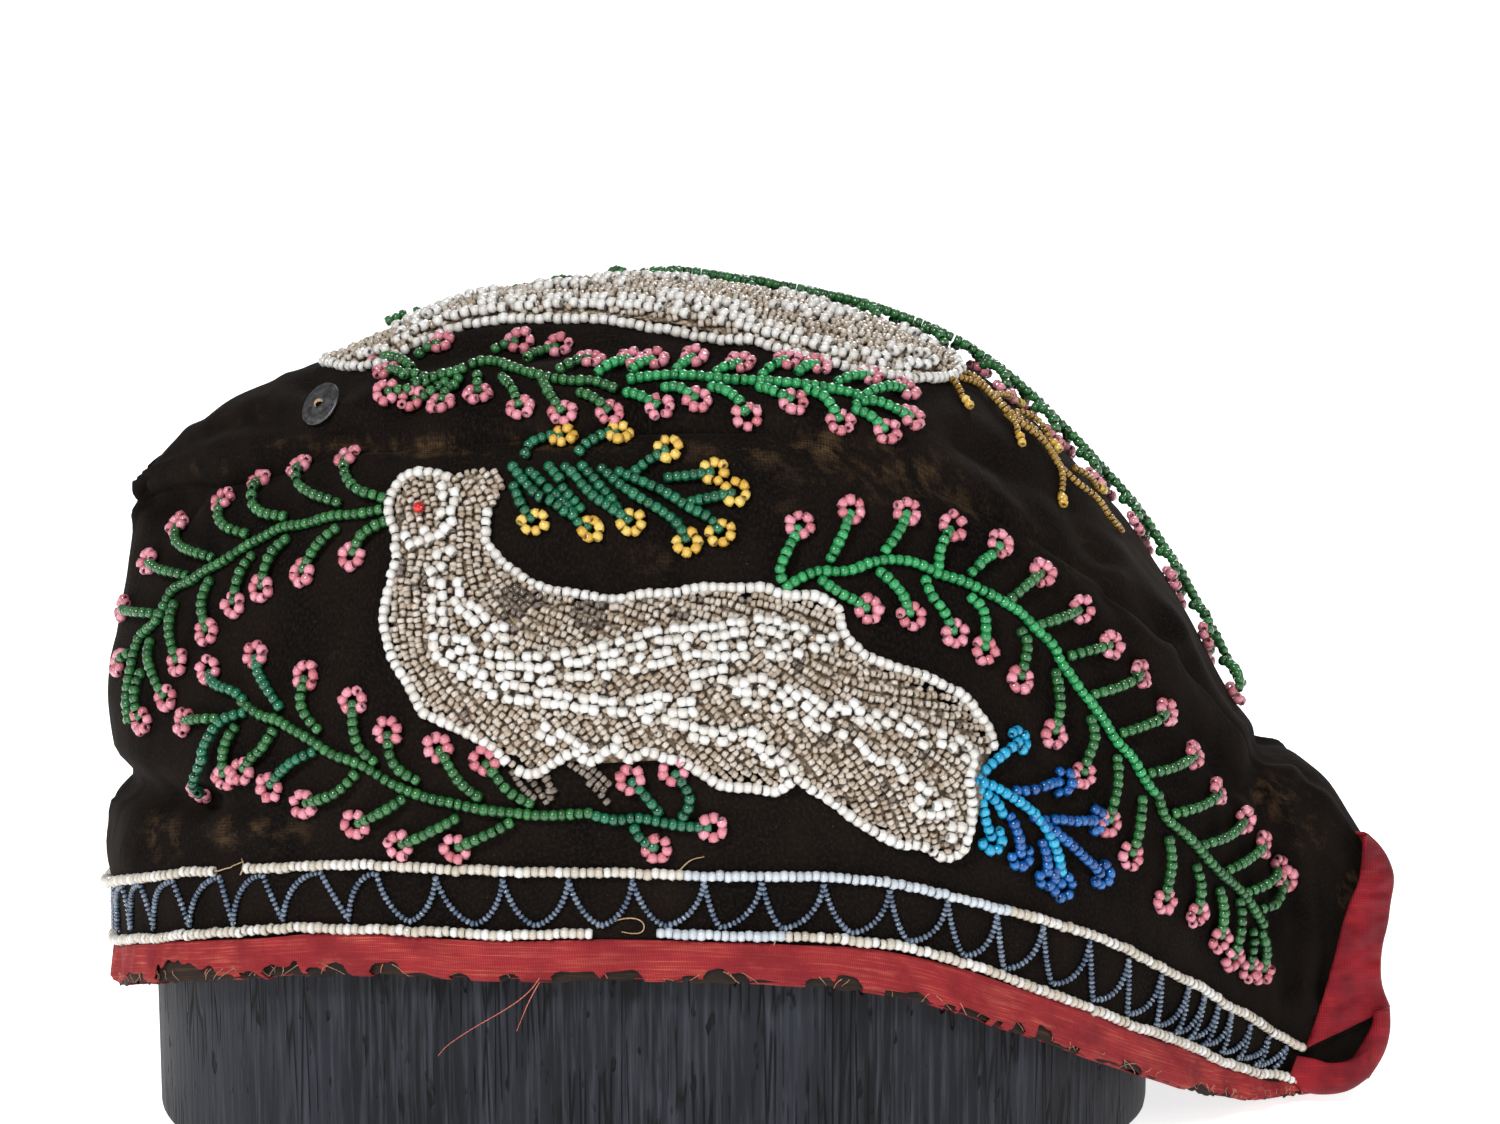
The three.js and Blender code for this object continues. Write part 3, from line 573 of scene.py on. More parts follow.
VELVET_CLOTH = velvet_cloth()
# the lining's cloth darkened as painted shade, for its edge seen deep in the tears
SHADED_EDGE_CLOTH = woven_cloth(
    "shaded_edge_cloth", (0.006, 0.003, 0.0015), (0.018, 0.009, 0.004), (0.1, 0.045, 0.02), 0.9, 0.02, 0.1)
LINING_CLOTH = woven_cloth(
    "lining", (0.03, 0.015, 0.008), (0.075, 0.036, 0.018), (0.17, 0.085, 0.042), 0.45, 0.2, 0.1)
RIM_RIBBON = woven_cloth("rim_ribbon", (0.22, 0.008, 0.014), (0.36, 0.02, 0.026), (0.58, 0.16, 0.09), 1.05)
VENT_RIBBON = woven_cloth(
    "vent_ribbon", (0.14, 0.001, 0.007), (0.28, 0.004, 0.013), (0.36, 0.02, 0.022), 0.62, 0.1)
PADDING = bird_padding()
BLOCK_WOOD = stained_wood()
SEQUIN_METAL = dark_metal()
TAN_THREAD = cotton_thread("tan_thread", (0.32, 0.19, 0.08), (0.55, 0.38, 0.2))
RED_THREAD = cotton_thread("red_thread", (0.4, 0.05, 0.04), (0.6, 0.16, 0.1))
BROWN_THREAD = cotton_thread("brown_thread", (0.14, 0.07, 0.035), (0.4, 0.2, 0.11))

GLASS = {
    "white": bead_glass("white_glass", (0.68, 0.645, 0.59), (0.82, 0.81, 0.79)),
    "cream": bead_glass("cream_glass", (0.53, 0.47, 0.38), (0.66, 0.62, 0.55)),
    "bluish": bead_glass("bluish_glass", (0.5, 0.55, 0.6), (0.64, 0.69, 0.74)),
    "clear": bead_glass("clear_glass", (0.5, 0.38, 0.27), (0.85, 0.76, 0.66), clear=0.3, gloss=0.07),
    "smoky": bead_glass("smoky_glass", (0.16, 0.12, 0.09), (0.42, 0.34, 0.28), clear=0.45, gloss=0.08),
    "green": bead_glass("green_glass", (0.012, 0.085, 0.02), (0.032, 0.172, 0.044)),
    "teal": bead_glass("teal_glass", (0.002, 0.08, 0.035), (0.01, 0.165, 0.075)),
    "bright": bead_glass("bright_green_glass", (0.01, 0.2, 0.055), (0.03, 0.36, 0.11)),
    "pink": bead_glass("pink_glass", (0.56, 0.15, 0.185), (0.78, 0.3, 0.38)),
    "yellow": bead_glass("yellow_glass", (0.66, 0.36, 0.04), (0.84, 0.58, 0.13)),
    "turquoise": bead_glass("turquoise_glass", (0.0, 0.26, 0.5), (0.02, 0.42, 0.68)),
    "blue": bead_glass("blue_glass", (0.0, 0.055, 0.25), (0.002, 0.125, 0.42)),
    "grey": bead_glass("grey_blue_glass", (0.09, 0.14, 0.23), (0.32, 0.4, 0.52), clear=0.4, gloss=0.08),
    "amber": bead_glass("amber_glass", (0.4, 0.2, 0.02), (0.66, 0.4, 0.08), clear=0.35, gloss=0.1),
    "red": bead_glass("red_glass", (0.5, 0.0, 0.0), (0.7, 0.01, 0.01)),
}

# Beads

# Half of a bead's section as shares of its radius and half length, from its hole round its outside.
ROUND_BEAD = (7, np.array([[0.34, -0.8], [0.77, -0.95], [1.0, 0.0], [0.77, 0.95], [0.34, 0.8]]))
SMALL_BEAD = (6, np.array([[0.42, -0.97], [0.96, -0.55], [0.96, 0.55], [0.42, 0.97]]))
TINY_BEAD = (6, np.array([[0.5, -1.0], [1.05, 0.0], [0.5, 1.0]]))
SMALL_KINDS, TINY_KINDS = ("clear", "smoky", "amber"), ("grey",)
RADIUS_SPREAD, LENGTH_SPREAD, TILT = 0.04, 0.07, 0.08


class Beads:
    """Beads gathered for one joined mesh."""

    def __init__(self):
        self.places, self.axes, self.radii, self.halves, self.kinds = [], [], [], [], []

    def add(self, places, axes, radius, half, kinds):
        count = len(places)
        self.places.append(np.asarray(places, float))
        self.axes.append(unit(np.asarray(axes, float)))
        self.radii.append(np.broadcast_to(radius, count))
        self.halves.append(np.broadcast_to(half, count))
        self.kinds.append(np.array([kinds] * count if isinstance(kinds, str) else kinds))

    def mirrored(self):
        other = Beads()
        other.places = [p * MIRROR for p in self.places]
        other.axes = [a * MIRROR for a in self.axes]
        other.radii, other.halves, other.kinds = self.radii, self.halves, self.kinds
        return other

    def build(self, name, slot, nodes, seed):
        rng = chance(seed)
        places = np.concatenate(self.places)
        count = len(places)
        radii = np.concatenate(self.radii) * rng.normal(1, RADIUS_SPREAD, count).clip(0.88, 1.12)
        halves = np.concatenate(self.halves) * rng.normal(1, LENGTH_SPREAD, count).clip(0.8, 1.2)
        kinds = np.concatenate(self.kinds)
        axes = unit(np.concatenate(self.axes) + rng.normal(0, TILT, (count, 3)))
        across = unit(np.cross(axes, rng.normal(0, 1, (count, 3))))
        tints = rng.uniform(0, 1, count)
        names = sorted(set(kinds))
        small, tiny = np.isin(kinds, SMALL_KINDS), np.isin(kinds, TINY_KINDS)
        points, quads, numbers, tint, rounds, start = [], [], [], [], [], 0
        forms = ((~(small | tiny), ROUND_BEAD), (small, SMALL_BEAD), (tiny, TINY_BEAD))
        for chosen, (sides, profile) in forms:
            if not chosen.any():
                continue
            sized = (places[chosen], axes[chosen], across[chosen], radii[chosen], halves[chosen])
            rings = bead_rings(*sized, sides, profile)
            every = bead_quads(rings[0].reshape(-1, 3) - sized[0][0], sides, len(profile), len(rings))
            points.append(rings.reshape(-1, 3))
            quads.append(every + start)
            start += len(points[-1])
            numbers.append(np.repeat(np.searchsorted(names, kinds[chosen]), sides * len(profile)))
            tint.append(np.repeat(tints[chosen], sides * len(profile)))
            rounds.append(np.tile(np.repeat(profile[:, 0], sides), len(rings)))
        return add_piece(
            name, np.concatenate(points), np.concatenate(quads), [GLASS[n] for n in names], slot, nodes,
            np.concatenate(numbers), tint=np.concatenate(tint), round=np.concatenate(rounds),
        )


def bead_rings(places, axes, across, radii, halves, sides, profile):
    other = np.cross(axes, across)
    turns = np.arange(sides) * 2 * math.pi / sides
    spokes = np.cos(turns)[:, None] * across[:, None] + np.sin(turns)[:, None] * other[:, None]
    wide = profile[:, 0][:, None, None] * radii[:, None, None, None]
    high = profile[:, 1][:, None, None] * halves[:, None, None, None]
    return places[:, None, None] + spokes[:, None] * wide + axes[:, None, None] * high


def bead_quads(one, sides, steps, count):
    """Faces of count beads, each a closed ring of steps round its hole."""
    index = numbered(steps, sides)
    quads = facing_out(one, round_quads(np.concatenate([index, index[:1]])))
    return (quads[None] + (np.arange(count) * steps * sides)[:, None, None]).reshape(-1, 4)


def smoothed(points, rounds=2):
    """Cuts the corners of a line of points."""
    points = np.asarray(points, float)
    for _ in range(rounds):
        if len(points) < 3:
            return points
        a, b = points[:-1], points[1:]
        cut = np.stack([a * 0.75 + b * 0.25, a * 0.25 + b * 0.75], 1).reshape(-1, points.shape[1])
        points = np.vstack([points[:1], cut[1:-1], points[-1:]])
    return points


def run_along(points):
    """The length of a line up to each of its points."""
    return np.concatenate([[0], np.cumsum(np.linalg.norm(np.diff(points, axis=0), axis=1))])


def resample_line(points, count):
    run = run_along(points)
    at = np.linspace(0, run[-1], count)
    return np.stack([np.interp(at, run, points[:, k]) for k in range(points.shape[1])], 1)


def spaced(points, spacing):
    """Points about one spacing apart along a line, from its start to its end."""
    points = np.asarray(points, float)
    return resample_line(points, max(2, int(round(run_along(points)[-1] / spacing)) + 1))


def tangents(points):
    return unit(np.gradient(points, axis=0)) if len(points) > 1 else np.array([[1.0, 0.0, 0.0]])


# Surfaces that carry the beads

NEAREST_ROUNDS = 6


class Carrier:
    """Finds places on meshes by a ray, or by the nearest point."""

    def __init__(self, *meshes):
        points, quads = joined(meshes)
        self.tree = BVHTree.FromPolygons(points.tolist(), quads.tolist())

    def nearest(self, point):
        place, normal, _, _ = self.tree.find_nearest(Vector(point))
        return np.array(place), np.array(normal)

    def cast(self, places, ray=ray_through):
        """Points under places of a picture. A place just off the outline takes the nearest point."""
        found = []
        for place in places:
            start, heading = ray(place)
            hit = self.tree.ray_cast(Vector(start), Vector(heading))[0]
            if hit is None:
                reach = DISTANCE
                for _ in range(NEAREST_ROUNDS):
                    hit = self.nearest(start + heading * reach)[0]
                    reach = (np.array(hit) - start) @ heading
            found.append(np.array(hit))
        return np.array(found)

    def settled(self, points, heights):
        """Moves points to a height over the nearest place, and gives the normals there."""
        heights = np.broadcast_to(heights, len(points))
        near = [self.nearest(p) for p in points]
        normals = np.array([n for _, n in near])
        return np.array([p for p, _ in near]) + normals * heights[:, None], normals


# Velvet

CREASES = [
    # half width and depth in millimetres, then the line in pixels
    (2.2, 1.1, [(165, 505), (200, 493), (250, 478), (290, 458), (340, 438), (393, 413), (456, 383)]),
    (2.0, 0.9, [(425, 334), (455, 322), (484, 316), (547, 314), (600, 318), (641, 325), (690, 336),
                (730, 352)]),
    (1.8, 0.9, [(349, 442), (421, 451), (466, 446), (529, 442), (620, 430), (700, 428), (780, 433),
                (860, 462), (938, 493), (984, 519), (1027, 542), (1076, 569), (1117, 597), (1163, 633)]),
    (2.6, 1.3, [(113, 776), (150, 790), (200, 800), (250, 806)]),
    (1.8, 0.7, [(141, 498), (180, 490), (215, 480)]),
    (2.0, 0.8, [(210, 430), (250, 420), (300, 425), (345, 420)]),
    (1.6, 0.6, [(300, 385), (340, 395), (370, 405)]),
    (2.2, 0.9, [(960, 440), (1000, 470), (1060, 540), (1100, 560)]),
    (2.0, 0.8, [(1110, 600), (1150, 680), (1200, 740), (1230, 790)]),
    (2.6, 1.2, [(1265, 742), (1262, 790), (1285, 850), (1300, 920), (1295, 985)]),
    (2.2, 0.9, [(1304, 790), (1310, 860), (1330, 930), (1322, 990)]),
    (1.8, 0.6, [(1000, 700), (1040, 760), (1060, 800)]), (1.8, 0.6, [(880, 480), (920, 500), (980, 560)]),
    (2.0, 0.7, [(150, 850), (200, 845), (260, 850), (330, 842)]),
    (1.8, 0.6, [(560, 500), (620, 560), (640, 580)]),
]
WORN = [
    # centre, half width and half height in pixels, strength
    (162, 835, 20, 22, 1.0), (228, 832, 18, 14, 0.75), (270, 830, 34, 24, 0.7), (215, 470, 50, 12, 0.4),
    (350, 444, 60, 7, 0.75), (440, 448, 70, 7, 0.9), (540, 444, 60, 8, 0.9), (830, 445, 50, 14, 0.8),
    (900, 475, 60, 26, 0.7), (960, 510, 50, 14, 0.6), (1268, 798, 20, 20, 0.9), (1350, 884, 10, 12, 1.0),
    (1344, 901, 6, 6, 1.2), (700, 450, 90, 10, 0.45), (330, 640, 60, 60, 0.22), (760, 500, 60, 60, 0.3),
    (1200, 800, 50, 50, 0.2), (1060, 560, 60, 40, 0.35), (640, 560, 40, 16, 0.5),
    (1310, 830, 24, 40, 0.4), (140, 600, 22, 60, 0.25), (480, 815, 120, 20, 0.25),
    (900, 870, 90, 20, 0.25), (250, 410, 60, 30, 0.25),
]


def line_distance(points, line):
    """Distance of many points from a line of pixels."""
    line = np.asarray(line, float)
    best = np.full(points.shape[:-1], 1e9)
    for a, b in zip(line[:-1], line[1:]):
        run = b - a
        share = np.clip((points - a) @ run / max(run @ run, 1e-9), 0, 1)
        best = np.minimum(best, np.linalg.norm(points - a - share[..., None] * run, axis=-1))
    return best


def as_seen_near(points):
    """Pixels of points, with those of the far half mirrored to the near one."""
    near = points * np.array([1, 0, 1]) - np.abs(points) * np.array([0, 1, 0])
    return project(near)


PIXELS_A_MM = 4.95
CREASE_SHARE = 1.4
CREASE_BANK = 0.45  # height of the banks beside a crease, as a share of its depth


def crease_depth(points):
    pixels = as_seen_near(points)
    depth = np.zeros(pixels.shape[:-1])
    for width, deep, line in CREASES:
        distance = line_distance(pixels, line) / PIXELS_A_MM
        depth += CREASE_SHARE * deep * (
            np.exp(-((distance / width) ** 2))
            - CREASE_BANK * np.exp(-(((distance - 2 * width) / width) ** 2)))
    return depth


def wear_at(points):
    pixels = as_seen_near(points)
    wear = np.zeros(pixels.shape[:-1])
    for x, y, wide, tall, strength in WORN:
        far = ((pixels[..., 0] - x) / wide) ** 2 + ((pixels[..., 1] - y) / tall) ** 2
        wear += strength * np.exp(-far * 0.8)
    return wear.clip(0, 1.2)


SIDE_ALONG, SIDE_UP, CROWN_UP = 190, 50, 38
CROWN_TIP = 0.004
QUIET_FROM, QUIET_OVER, QUIET_LEAST = 0.1, 0.12, 0.12  # the relief fades towards the rim
WORN_DEPTH = 0.15
THIN_FRONT = 0.025  # share of the length over which a panel thins to its front edge
FAR_CLOTH = 500.0  # shift between the weaves of the two sides


def velvet_layers(along, up):
    """Outer and inner points of a panel. The outer ones have its small creases and lumps."""
    normal = normal_of(velvet_point, along, up)
    base = velvet_point(along, up)
    lumps = 0.6 * value_noise(base, 15.0, 5) + 0.2 * value_noise(base, 5.0, 6)
    worn = wear_at(base)
    low = near_up(up)
    quiet = QUIET_LEAST + (1 - QUIET_LEAST) * np.clip((low - QUIET_FROM) / QUIET_OVER, 0, 1)
    relief = quiet * (lumps - crease_depth(base) - WORN_DEPTH * worn)
    outer = base + normal * relief[..., None]
    thickness = (VELVET * np.clip(along / THIN_FRONT, 0.1, 1) + np.maximum(0, -relief))[..., None]
    cloth = cloth_place(along, up)
    side = np.where(up > 2, FAR_CLOTH, 0.0)
    cloth = np.concatenate([cloth + side[..., None], np.zeros((*worn.shape, 1))], -1)
    return outer, base - normal * thickness, cloth, worn


def velvet_grid(kind):
    if kind == "crown":
        along = np.linspace(CROWN_TIP, 1, SIDE_ALONG)[:, None]
        return along, np.linspace(1, 3, CROWN_UP)[None]
    along = np.linspace(0, 1, SIDE_ALONG)[:, None]
    up = np.linspace(0, 1, SIDE_UP)[None]
    return along, (up if kind == "near" else 4 - up)


FRONT_END = 0.06  # nearer the front, a panel shows velvet on both faces


def add_velvet():
    """Makes the three panels and gives their outer layers as carriers."""
    carriers = []
    for kind, node in (("near", "side_panel_near"), ("far", "side_panel_far"), ("crown", "crown_panel")):
        along, up = np.broadcast_arrays(*velvet_grid(kind))
        outer, inner, cloth, worn = velvet_layers(along, up)
        if kind != "crown":
            outer[0, :, 1] = inner[0, :, 1] = 0
        points = np.concatenate([outer.reshape(-1, 3), inner.reshape(-1, 3)])
        rows, columns = outer.shape[:2]
        quads = shell_quads(rows, columns)
        layer = (rows - 1) * (columns - 1)
        inside = np.zeros(len(quads), int)
        inside[layer:2 * layer] = (along[:-1, :-1] > FRONT_END).ravel()
        quads = facing_out(points, quads)
        add_piece(
            f"velvet_{kind}", points, quads, [VELVET_CLOTH, LINING_CLOTH], "velvet", [node], inside,
            cloth=np.tile(cloth.reshape(-1, 3), (2, 1)), wear=np.tile(worn.ravel(), 2),
        )
        faces = grid_quads(numbered(rows, columns))
        if (quads[0] != shell_quads(rows, columns)[0]).any():
            faces = faces[:, ::-1]
        carriers.append((outer.reshape(-1, 3), faces))
    return carriers


# Birds

PAD_DOME = {"near": 3.1, "far": 3.1, "top": 1.3}
PAD_INSET = 0.05, 0.025  # below and above, as shares of the width
PAD_ALONG, PAD_ACROSS = 60, 20
PAD_LIFT, PAD_DEPTH, PAD_RIPPLE = 0.1, 0.4, 0.3


def resampled(stations, count):
    at = np.linspace(0, len(stations) - 1, count)
    return np.stack([np.interp(at, np.arange(len(stations)), stations[:, k]) for k in range(4)], 1)


def pad_grid(stations, rise):
    """The padded form under a bird's beads."""
    stations = resampled(stations, PAD_ALONG)
    share = np.linspace(PAD_INSET[0], 1 - PAD_INSET[1], PAD_ACROSS)[None]
    along = stations[:, 2:3] + (stations[:, 0:1] - stations[:, 2:3]) * share
    up = stations[:, 3:4] + (stations[:, 1:2] - stations[:, 3:4]) * share
    ends = np.sin(np.pi * np.linspace(0.04, 0.96, PAD_ALONG)) ** 0.35
    dome = np.sin(np.pi * np.linspace(0.02, 0.98, PAD_ACROSS)[None]) ** 0.7 * ends[:, None]
    puff = np.maximum(0, -fold_depth(along, up))
    normal = normal_of(smooth_point, along, up)
    base = smooth_point(along, up)
    ripple = PAD_RIPPLE * value_noise(base, 9.0, 11)
    top = base + normal * (puff + PAD_LIFT + (rise + ripple) * dome)[..., None]
    cloth = np.stack([along * CLOTH_RUN * LENGTH, up * CLOTH_SIDE * HEIGHT, up * 0], -1)
    return top, base - normal * PAD_DEPTH, cloth


def add_pad(kind, stations):
    top, bottom, cloth = pad_grid(stations, PAD_DOME[kind])
    points = np.concatenate([top.reshape(-1, 3), bottom.reshape(-1, 3)])
    quads = facing_out(points, shell_quads(PAD_ALONG, PAD_ACROSS))
    pad = add_piece(
        f"pad_{kind}", points, quads, [PADDING], "white_beads", cloth=np.tile(cloth.reshape(-1, 3), (2, 1)))
    return top.reshape(-1, 3), quads[:(PAD_ALONG - 1) * (PAD_ACROSS - 1)]


def inside_outline(point, outline):
    x, y = point
    a, b = outline, np.roll(outline, -1, 0)
    crosses = (a[:, 1] > y) != (b[:, 1] > y)
    rise = np.where(crosses, b[:, 1] - a[:, 1], 1.0)
    return bool(np.count_nonzero(crosses & (x < a[:, 0] + (y - a[:, 1]) / rise * (b[:, 0] - a[:, 0]))) % 2)


class Field:
    """Directions of the strands, blended from chosen places with their angles in degrees."""

    def __init__(self, guides):
        guides = np.array(guides, float)
        self.places = guides[:, :2]
        double = np.radians(guides[:, 2]) * 2
        self.doubles = np.stack([np.cos(double), np.sin(double)], 1)

    def at(self, point):
        weight = 1 / (np.sum((self.places - point) ** 2, 1) + 25.0) ** 1.5
        c, s = weight @ self.doubles
        angle = math.atan2(s, c) / 2
        return np.array([math.cos(angle), math.sin(angle)])


STRAND_STEP_SHARE = 0.4
START_ROOM, RUN_ROOM = 0.93, 0.8  # from other lines, where a line starts and where it runs, in gaps
MOST_STEPS = 400


def even_strands(outline, field, gap, seed_place):
    """Lines that follow a field inside an outline, one gap apart."""
    taken = {}

    def cell(point):
        return int(point[0] // gap), int(point[1] // gap)

    def room(point, share):
        i, j = cell(point)
        for di in (-1, 0, 1):
            for dj in (-1, 0, 1):
                for x, y in taken.get((i + di, j + dj), ()):
                    if (x - point[0]) ** 2 + (y - point[1]) ** 2 < (gap * share) ** 2:
                        return False
        return True

    step = gap * STRAND_STEP_SHARE
    queue, lines = [np.array(seed_place, float)], []
    while queue:
        seed = queue.pop(0)
        if not inside_outline(seed, outline) or not room(seed, START_ROOM):
            continue
        halves = []
        for sense in (1, -1):
            point, heading, half = seed, field.at(seed) * sense, []
            for _ in range(MOST_STEPS):
                turn = field.at(point)
                heading = turn if turn @ heading > 0 else -turn
                point = point + heading * step
                if not inside_outline(point, outline) or not room(point, RUN_ROOM):
                    break
                half.append(point)
            halves.append(half)
        line = halves[1][::-1] + [seed] + halves[0]
        if len(line) < 3:
            continue
        for point in line:
            taken.setdefault(cell(point), []).append(point)
        lines.append(np.array(line))
        for point in line[::2]:
            turn = field.at(point)
            side = np.array([-turn[1], turn[0]])
            queue.extend([point + side * gap, point - side * gap])
    return lines


NEAR_BIRD_OUTLINE = np.array([
    (390, 502), (397, 488), (405, 478), (420, 472), (437, 474), (448, 480), (460, 478), (470, 472),
    (488, 470), (503, 478), (503, 489), (500, 501), (494, 508), (486, 514), (484, 522), (484, 542),
    (499, 558), (504, 567), (513, 570), (520, 577), (530, 584), (540, 588), (554, 592), (572, 594),
    (589, 597), (605, 601), (621, 600), (637, 598), (652, 594), (667, 597), (680, 593), (703, 588),
    (725, 589), (745, 589), (766, 588), (777, 595), (798, 597), (813, 595), (842, 611), (836, 627),
    (850, 646), (861, 656), (880, 663), (895, 669), (920, 675), (941, 686), (962, 696), (973, 711),
    (987, 726), (991, 745), (983, 755), (970, 764), (966, 780), (970, 797), (970, 824), (960, 853),
    (939, 858), (924, 841), (905, 846), (886, 837), (867, 827), (848, 814), (827, 797), (810, 787),
    (798, 772), (777, 793), (756, 787), (737, 787), (718, 785), (701, 772), (678, 758), (660, 755),
    (648, 747), (628, 760), (614, 742), (590, 764), (575, 745), (536, 776), (520, 770), (506, 760),
    (494, 747), (478, 737), (463, 730), (451, 725), (437, 719), (423, 712), (417, 698), (409, 682),
    (398, 668), (392, 655), (388, 639), (384, 620), (388, 602), (392, 586), (398, 570), (403, 556),
    (399, 546), (397, 530), (391, 519),
], float)
NEAR_BIRD_FIELD = [
    # place and angle of the strands, 0 to the right and 90 down
    (405, 500, 70), (430, 490, 80), (480, 490, 60), (470, 530, 95), (420, 560, 100), (410, 620, 88),
    (440, 620, 86), (470, 610, 75), (500, 620, 50), (420, 680, 62), (450, 705, 48), (480, 660, 30),
    (520, 610, 38), (540, 640, 10), (560, 600, 25), (620, 612, 12), (700, 600, 8), (760, 600, 14),
    (820, 615, 25), (520, 690, 30), (520, 740, 45), (560, 670, 48), (590, 720, 55), (640, 650, 40),
    (640, 690, 50), (640, 735, 58), (700, 650, 42), (700, 700, 50), (700, 750, 50), (760, 650, 38),
    (760, 700, 46), (750, 770, 40), (820, 660, 25), (820, 700, 40), (800, 750, 55), (870, 680, 8),
    (920, 690, 4), (960, 710, 0), (985, 740, 5), (870, 730, 35), (920, 730, 25), (950, 760, 40),
    (850, 790, 62), (890, 820, 68), (930, 840, 70), (930, 790, 66), (960, 800, 72), (880, 770, 58),
]
WHITE_STRIPES = [
    # reach in pixels, then the line
    (10, [(448, 489), (453, 500), (447, 512), (448, 526), (439, 534), (418, 540), (403, 545)]),
    (10, [(448, 551), (437, 569), (441, 580), (438, 592), (441, 618), (443, 636), (441, 650),
          (458, 664)]),
    (9, [(455, 585), (456, 594), (467, 610), (480, 618), (486, 630), (494, 636), (506, 635)]),
    (11, [(443, 648), (462, 642), (470, 655), (486, 658), (500, 662), (520, 662), (540, 664), (560, 660),
          (586, 657), (614, 651), (641, 642), (671, 637), (692, 636), (714, 635), (735, 631), (754, 627),
          (771, 628), (785, 637), (800, 633), (815, 645)]),
    (9, [(458, 666), (474, 674), (490, 685), (512, 679), (530, 683), (545, 676), (572, 672), (600, 673),
         (628, 668), (653, 661), (680, 655), (692, 650), (720, 655), (752, 652), (764, 648), (775, 656),
         (785, 651), (815, 648), (840, 640)]),
    (10, [(485, 687), (522, 694), (552, 698), (575, 702), (602, 705), (628, 706), (646, 705), (660, 697),
          (672, 708), (692, 706)]),
    (9, [(695, 681), (707, 679), (722, 673), (730, 686), (743, 690), (758, 684), (768, 690), (783, 690),
         (790, 700), (808, 701), (818, 712), (827, 705), (838, 714), (845, 705), (857, 718), (867, 713),
         (876, 724), (887, 717), (893, 727), (903, 722), (912, 734), (926, 740), (939, 741), (956, 745),
         (965, 757)]),
    (8, [(646, 718), (671, 719), (692, 726), (712, 730), (732, 734)]),
    (8, [(747, 703), (762, 703), (775, 705), (783, 714), (800, 713), (815, 728), (827, 726), (840, 735),
         (855, 736), (860, 747), (870, 755), (882, 763), (890, 755), (897, 764), (903, 780), (914, 778),
         (920, 789), (930, 790), (935, 803)]),
    (9, [(688, 726), (701, 732), (720, 733), (760, 736), (764, 747), (770, 757), (782, 750), (784, 760),
         (788, 768)]),
    (9, [(545, 728), (560, 735), (575, 744), (588, 755)]),
    (9, [(614, 740), (622, 750), (632, 757), (648, 747), (660, 755), (678, 758)]),
    (12, [(915, 801), (922, 808), (949, 804), (960, 812), (954, 823), (953, 834)]),
]
WHITE_EDGES = [
    # the outline from one of its points to another is white this deep, in pixels
    (11, 0, 13), (17, 14, 37), (13, 38, 42), (26, 43, 49), (25, 50, 61), (19, 62, 67), (16, 68, 78),
    (11, 79, 93),
]
EDGE_STRINGS = [(13, 49), (51, 78), (79, 104)]  # stretches of the outline with a string of their own
SMOKY_SPOTS = [(516, 606, 17), (508, 622, 12), (590, 612, 20), (540, 600, 9)]
BIRD_GAP = 8.2  # between strands, in pixels
WHITE_RADIUS, CLEAR_RADIUS = 1.17, 0.78
WHITE_STEP, CLEAR_STEP = 1.86, 1.26  # along a strand
WHITE_ROOM, CLEAR_ROOM, FILL_ROOM = 1.72, 1.2, 1.12  # from a bead to its nearest neighbours
WHITE_HALF, CLEAR_HALF = 0.95, 0.66  # half lengths
SIDE_SCALE = 5.0  # pixels a millimetre
ROW_GAP = 9.6  # between rows of white beads, in pixels
EDGE_SHARE = 5  # of the depth of a white edge, in pixels, that its outer string takes up
NARROW_STRIPE = 8  # up to this reach, in pixels, a stripe is one row wide


def on_outline(outline, start, end):
    return [outline[k % len(outline)] for k in range(start, end + 1)]


def offset_line(line, distance):
    """A flat line moved sideways."""
    line = np.asarray(line, float)
    turn = tangents(line)
    return line + np.stack([-turn[:, 1], turn[:, 0]], 1) * distance


def smoky_or_clear(points):
    smoky = value_noise(points, 14.0, 21) > 0.7
    for x, y, size in SMOKY_SPOTS:
        smoky |= np.hypot(points[:, 0] - x, points[:, 1] - y) < size
    return np.where(smoky, "smoky", "clear")


SHIFT, TURN = 0.14, 0.3  # how far a white bead of a row strays in place, in millimetres, and in heading
EDGE_STAND, ROW_STAND, STAND_SPREAD = 0.05, 0.5, 0.13  # heights of outer strings and of rows
AXIS_STEP, AXIS_SPREAD = 0.5, 0.03


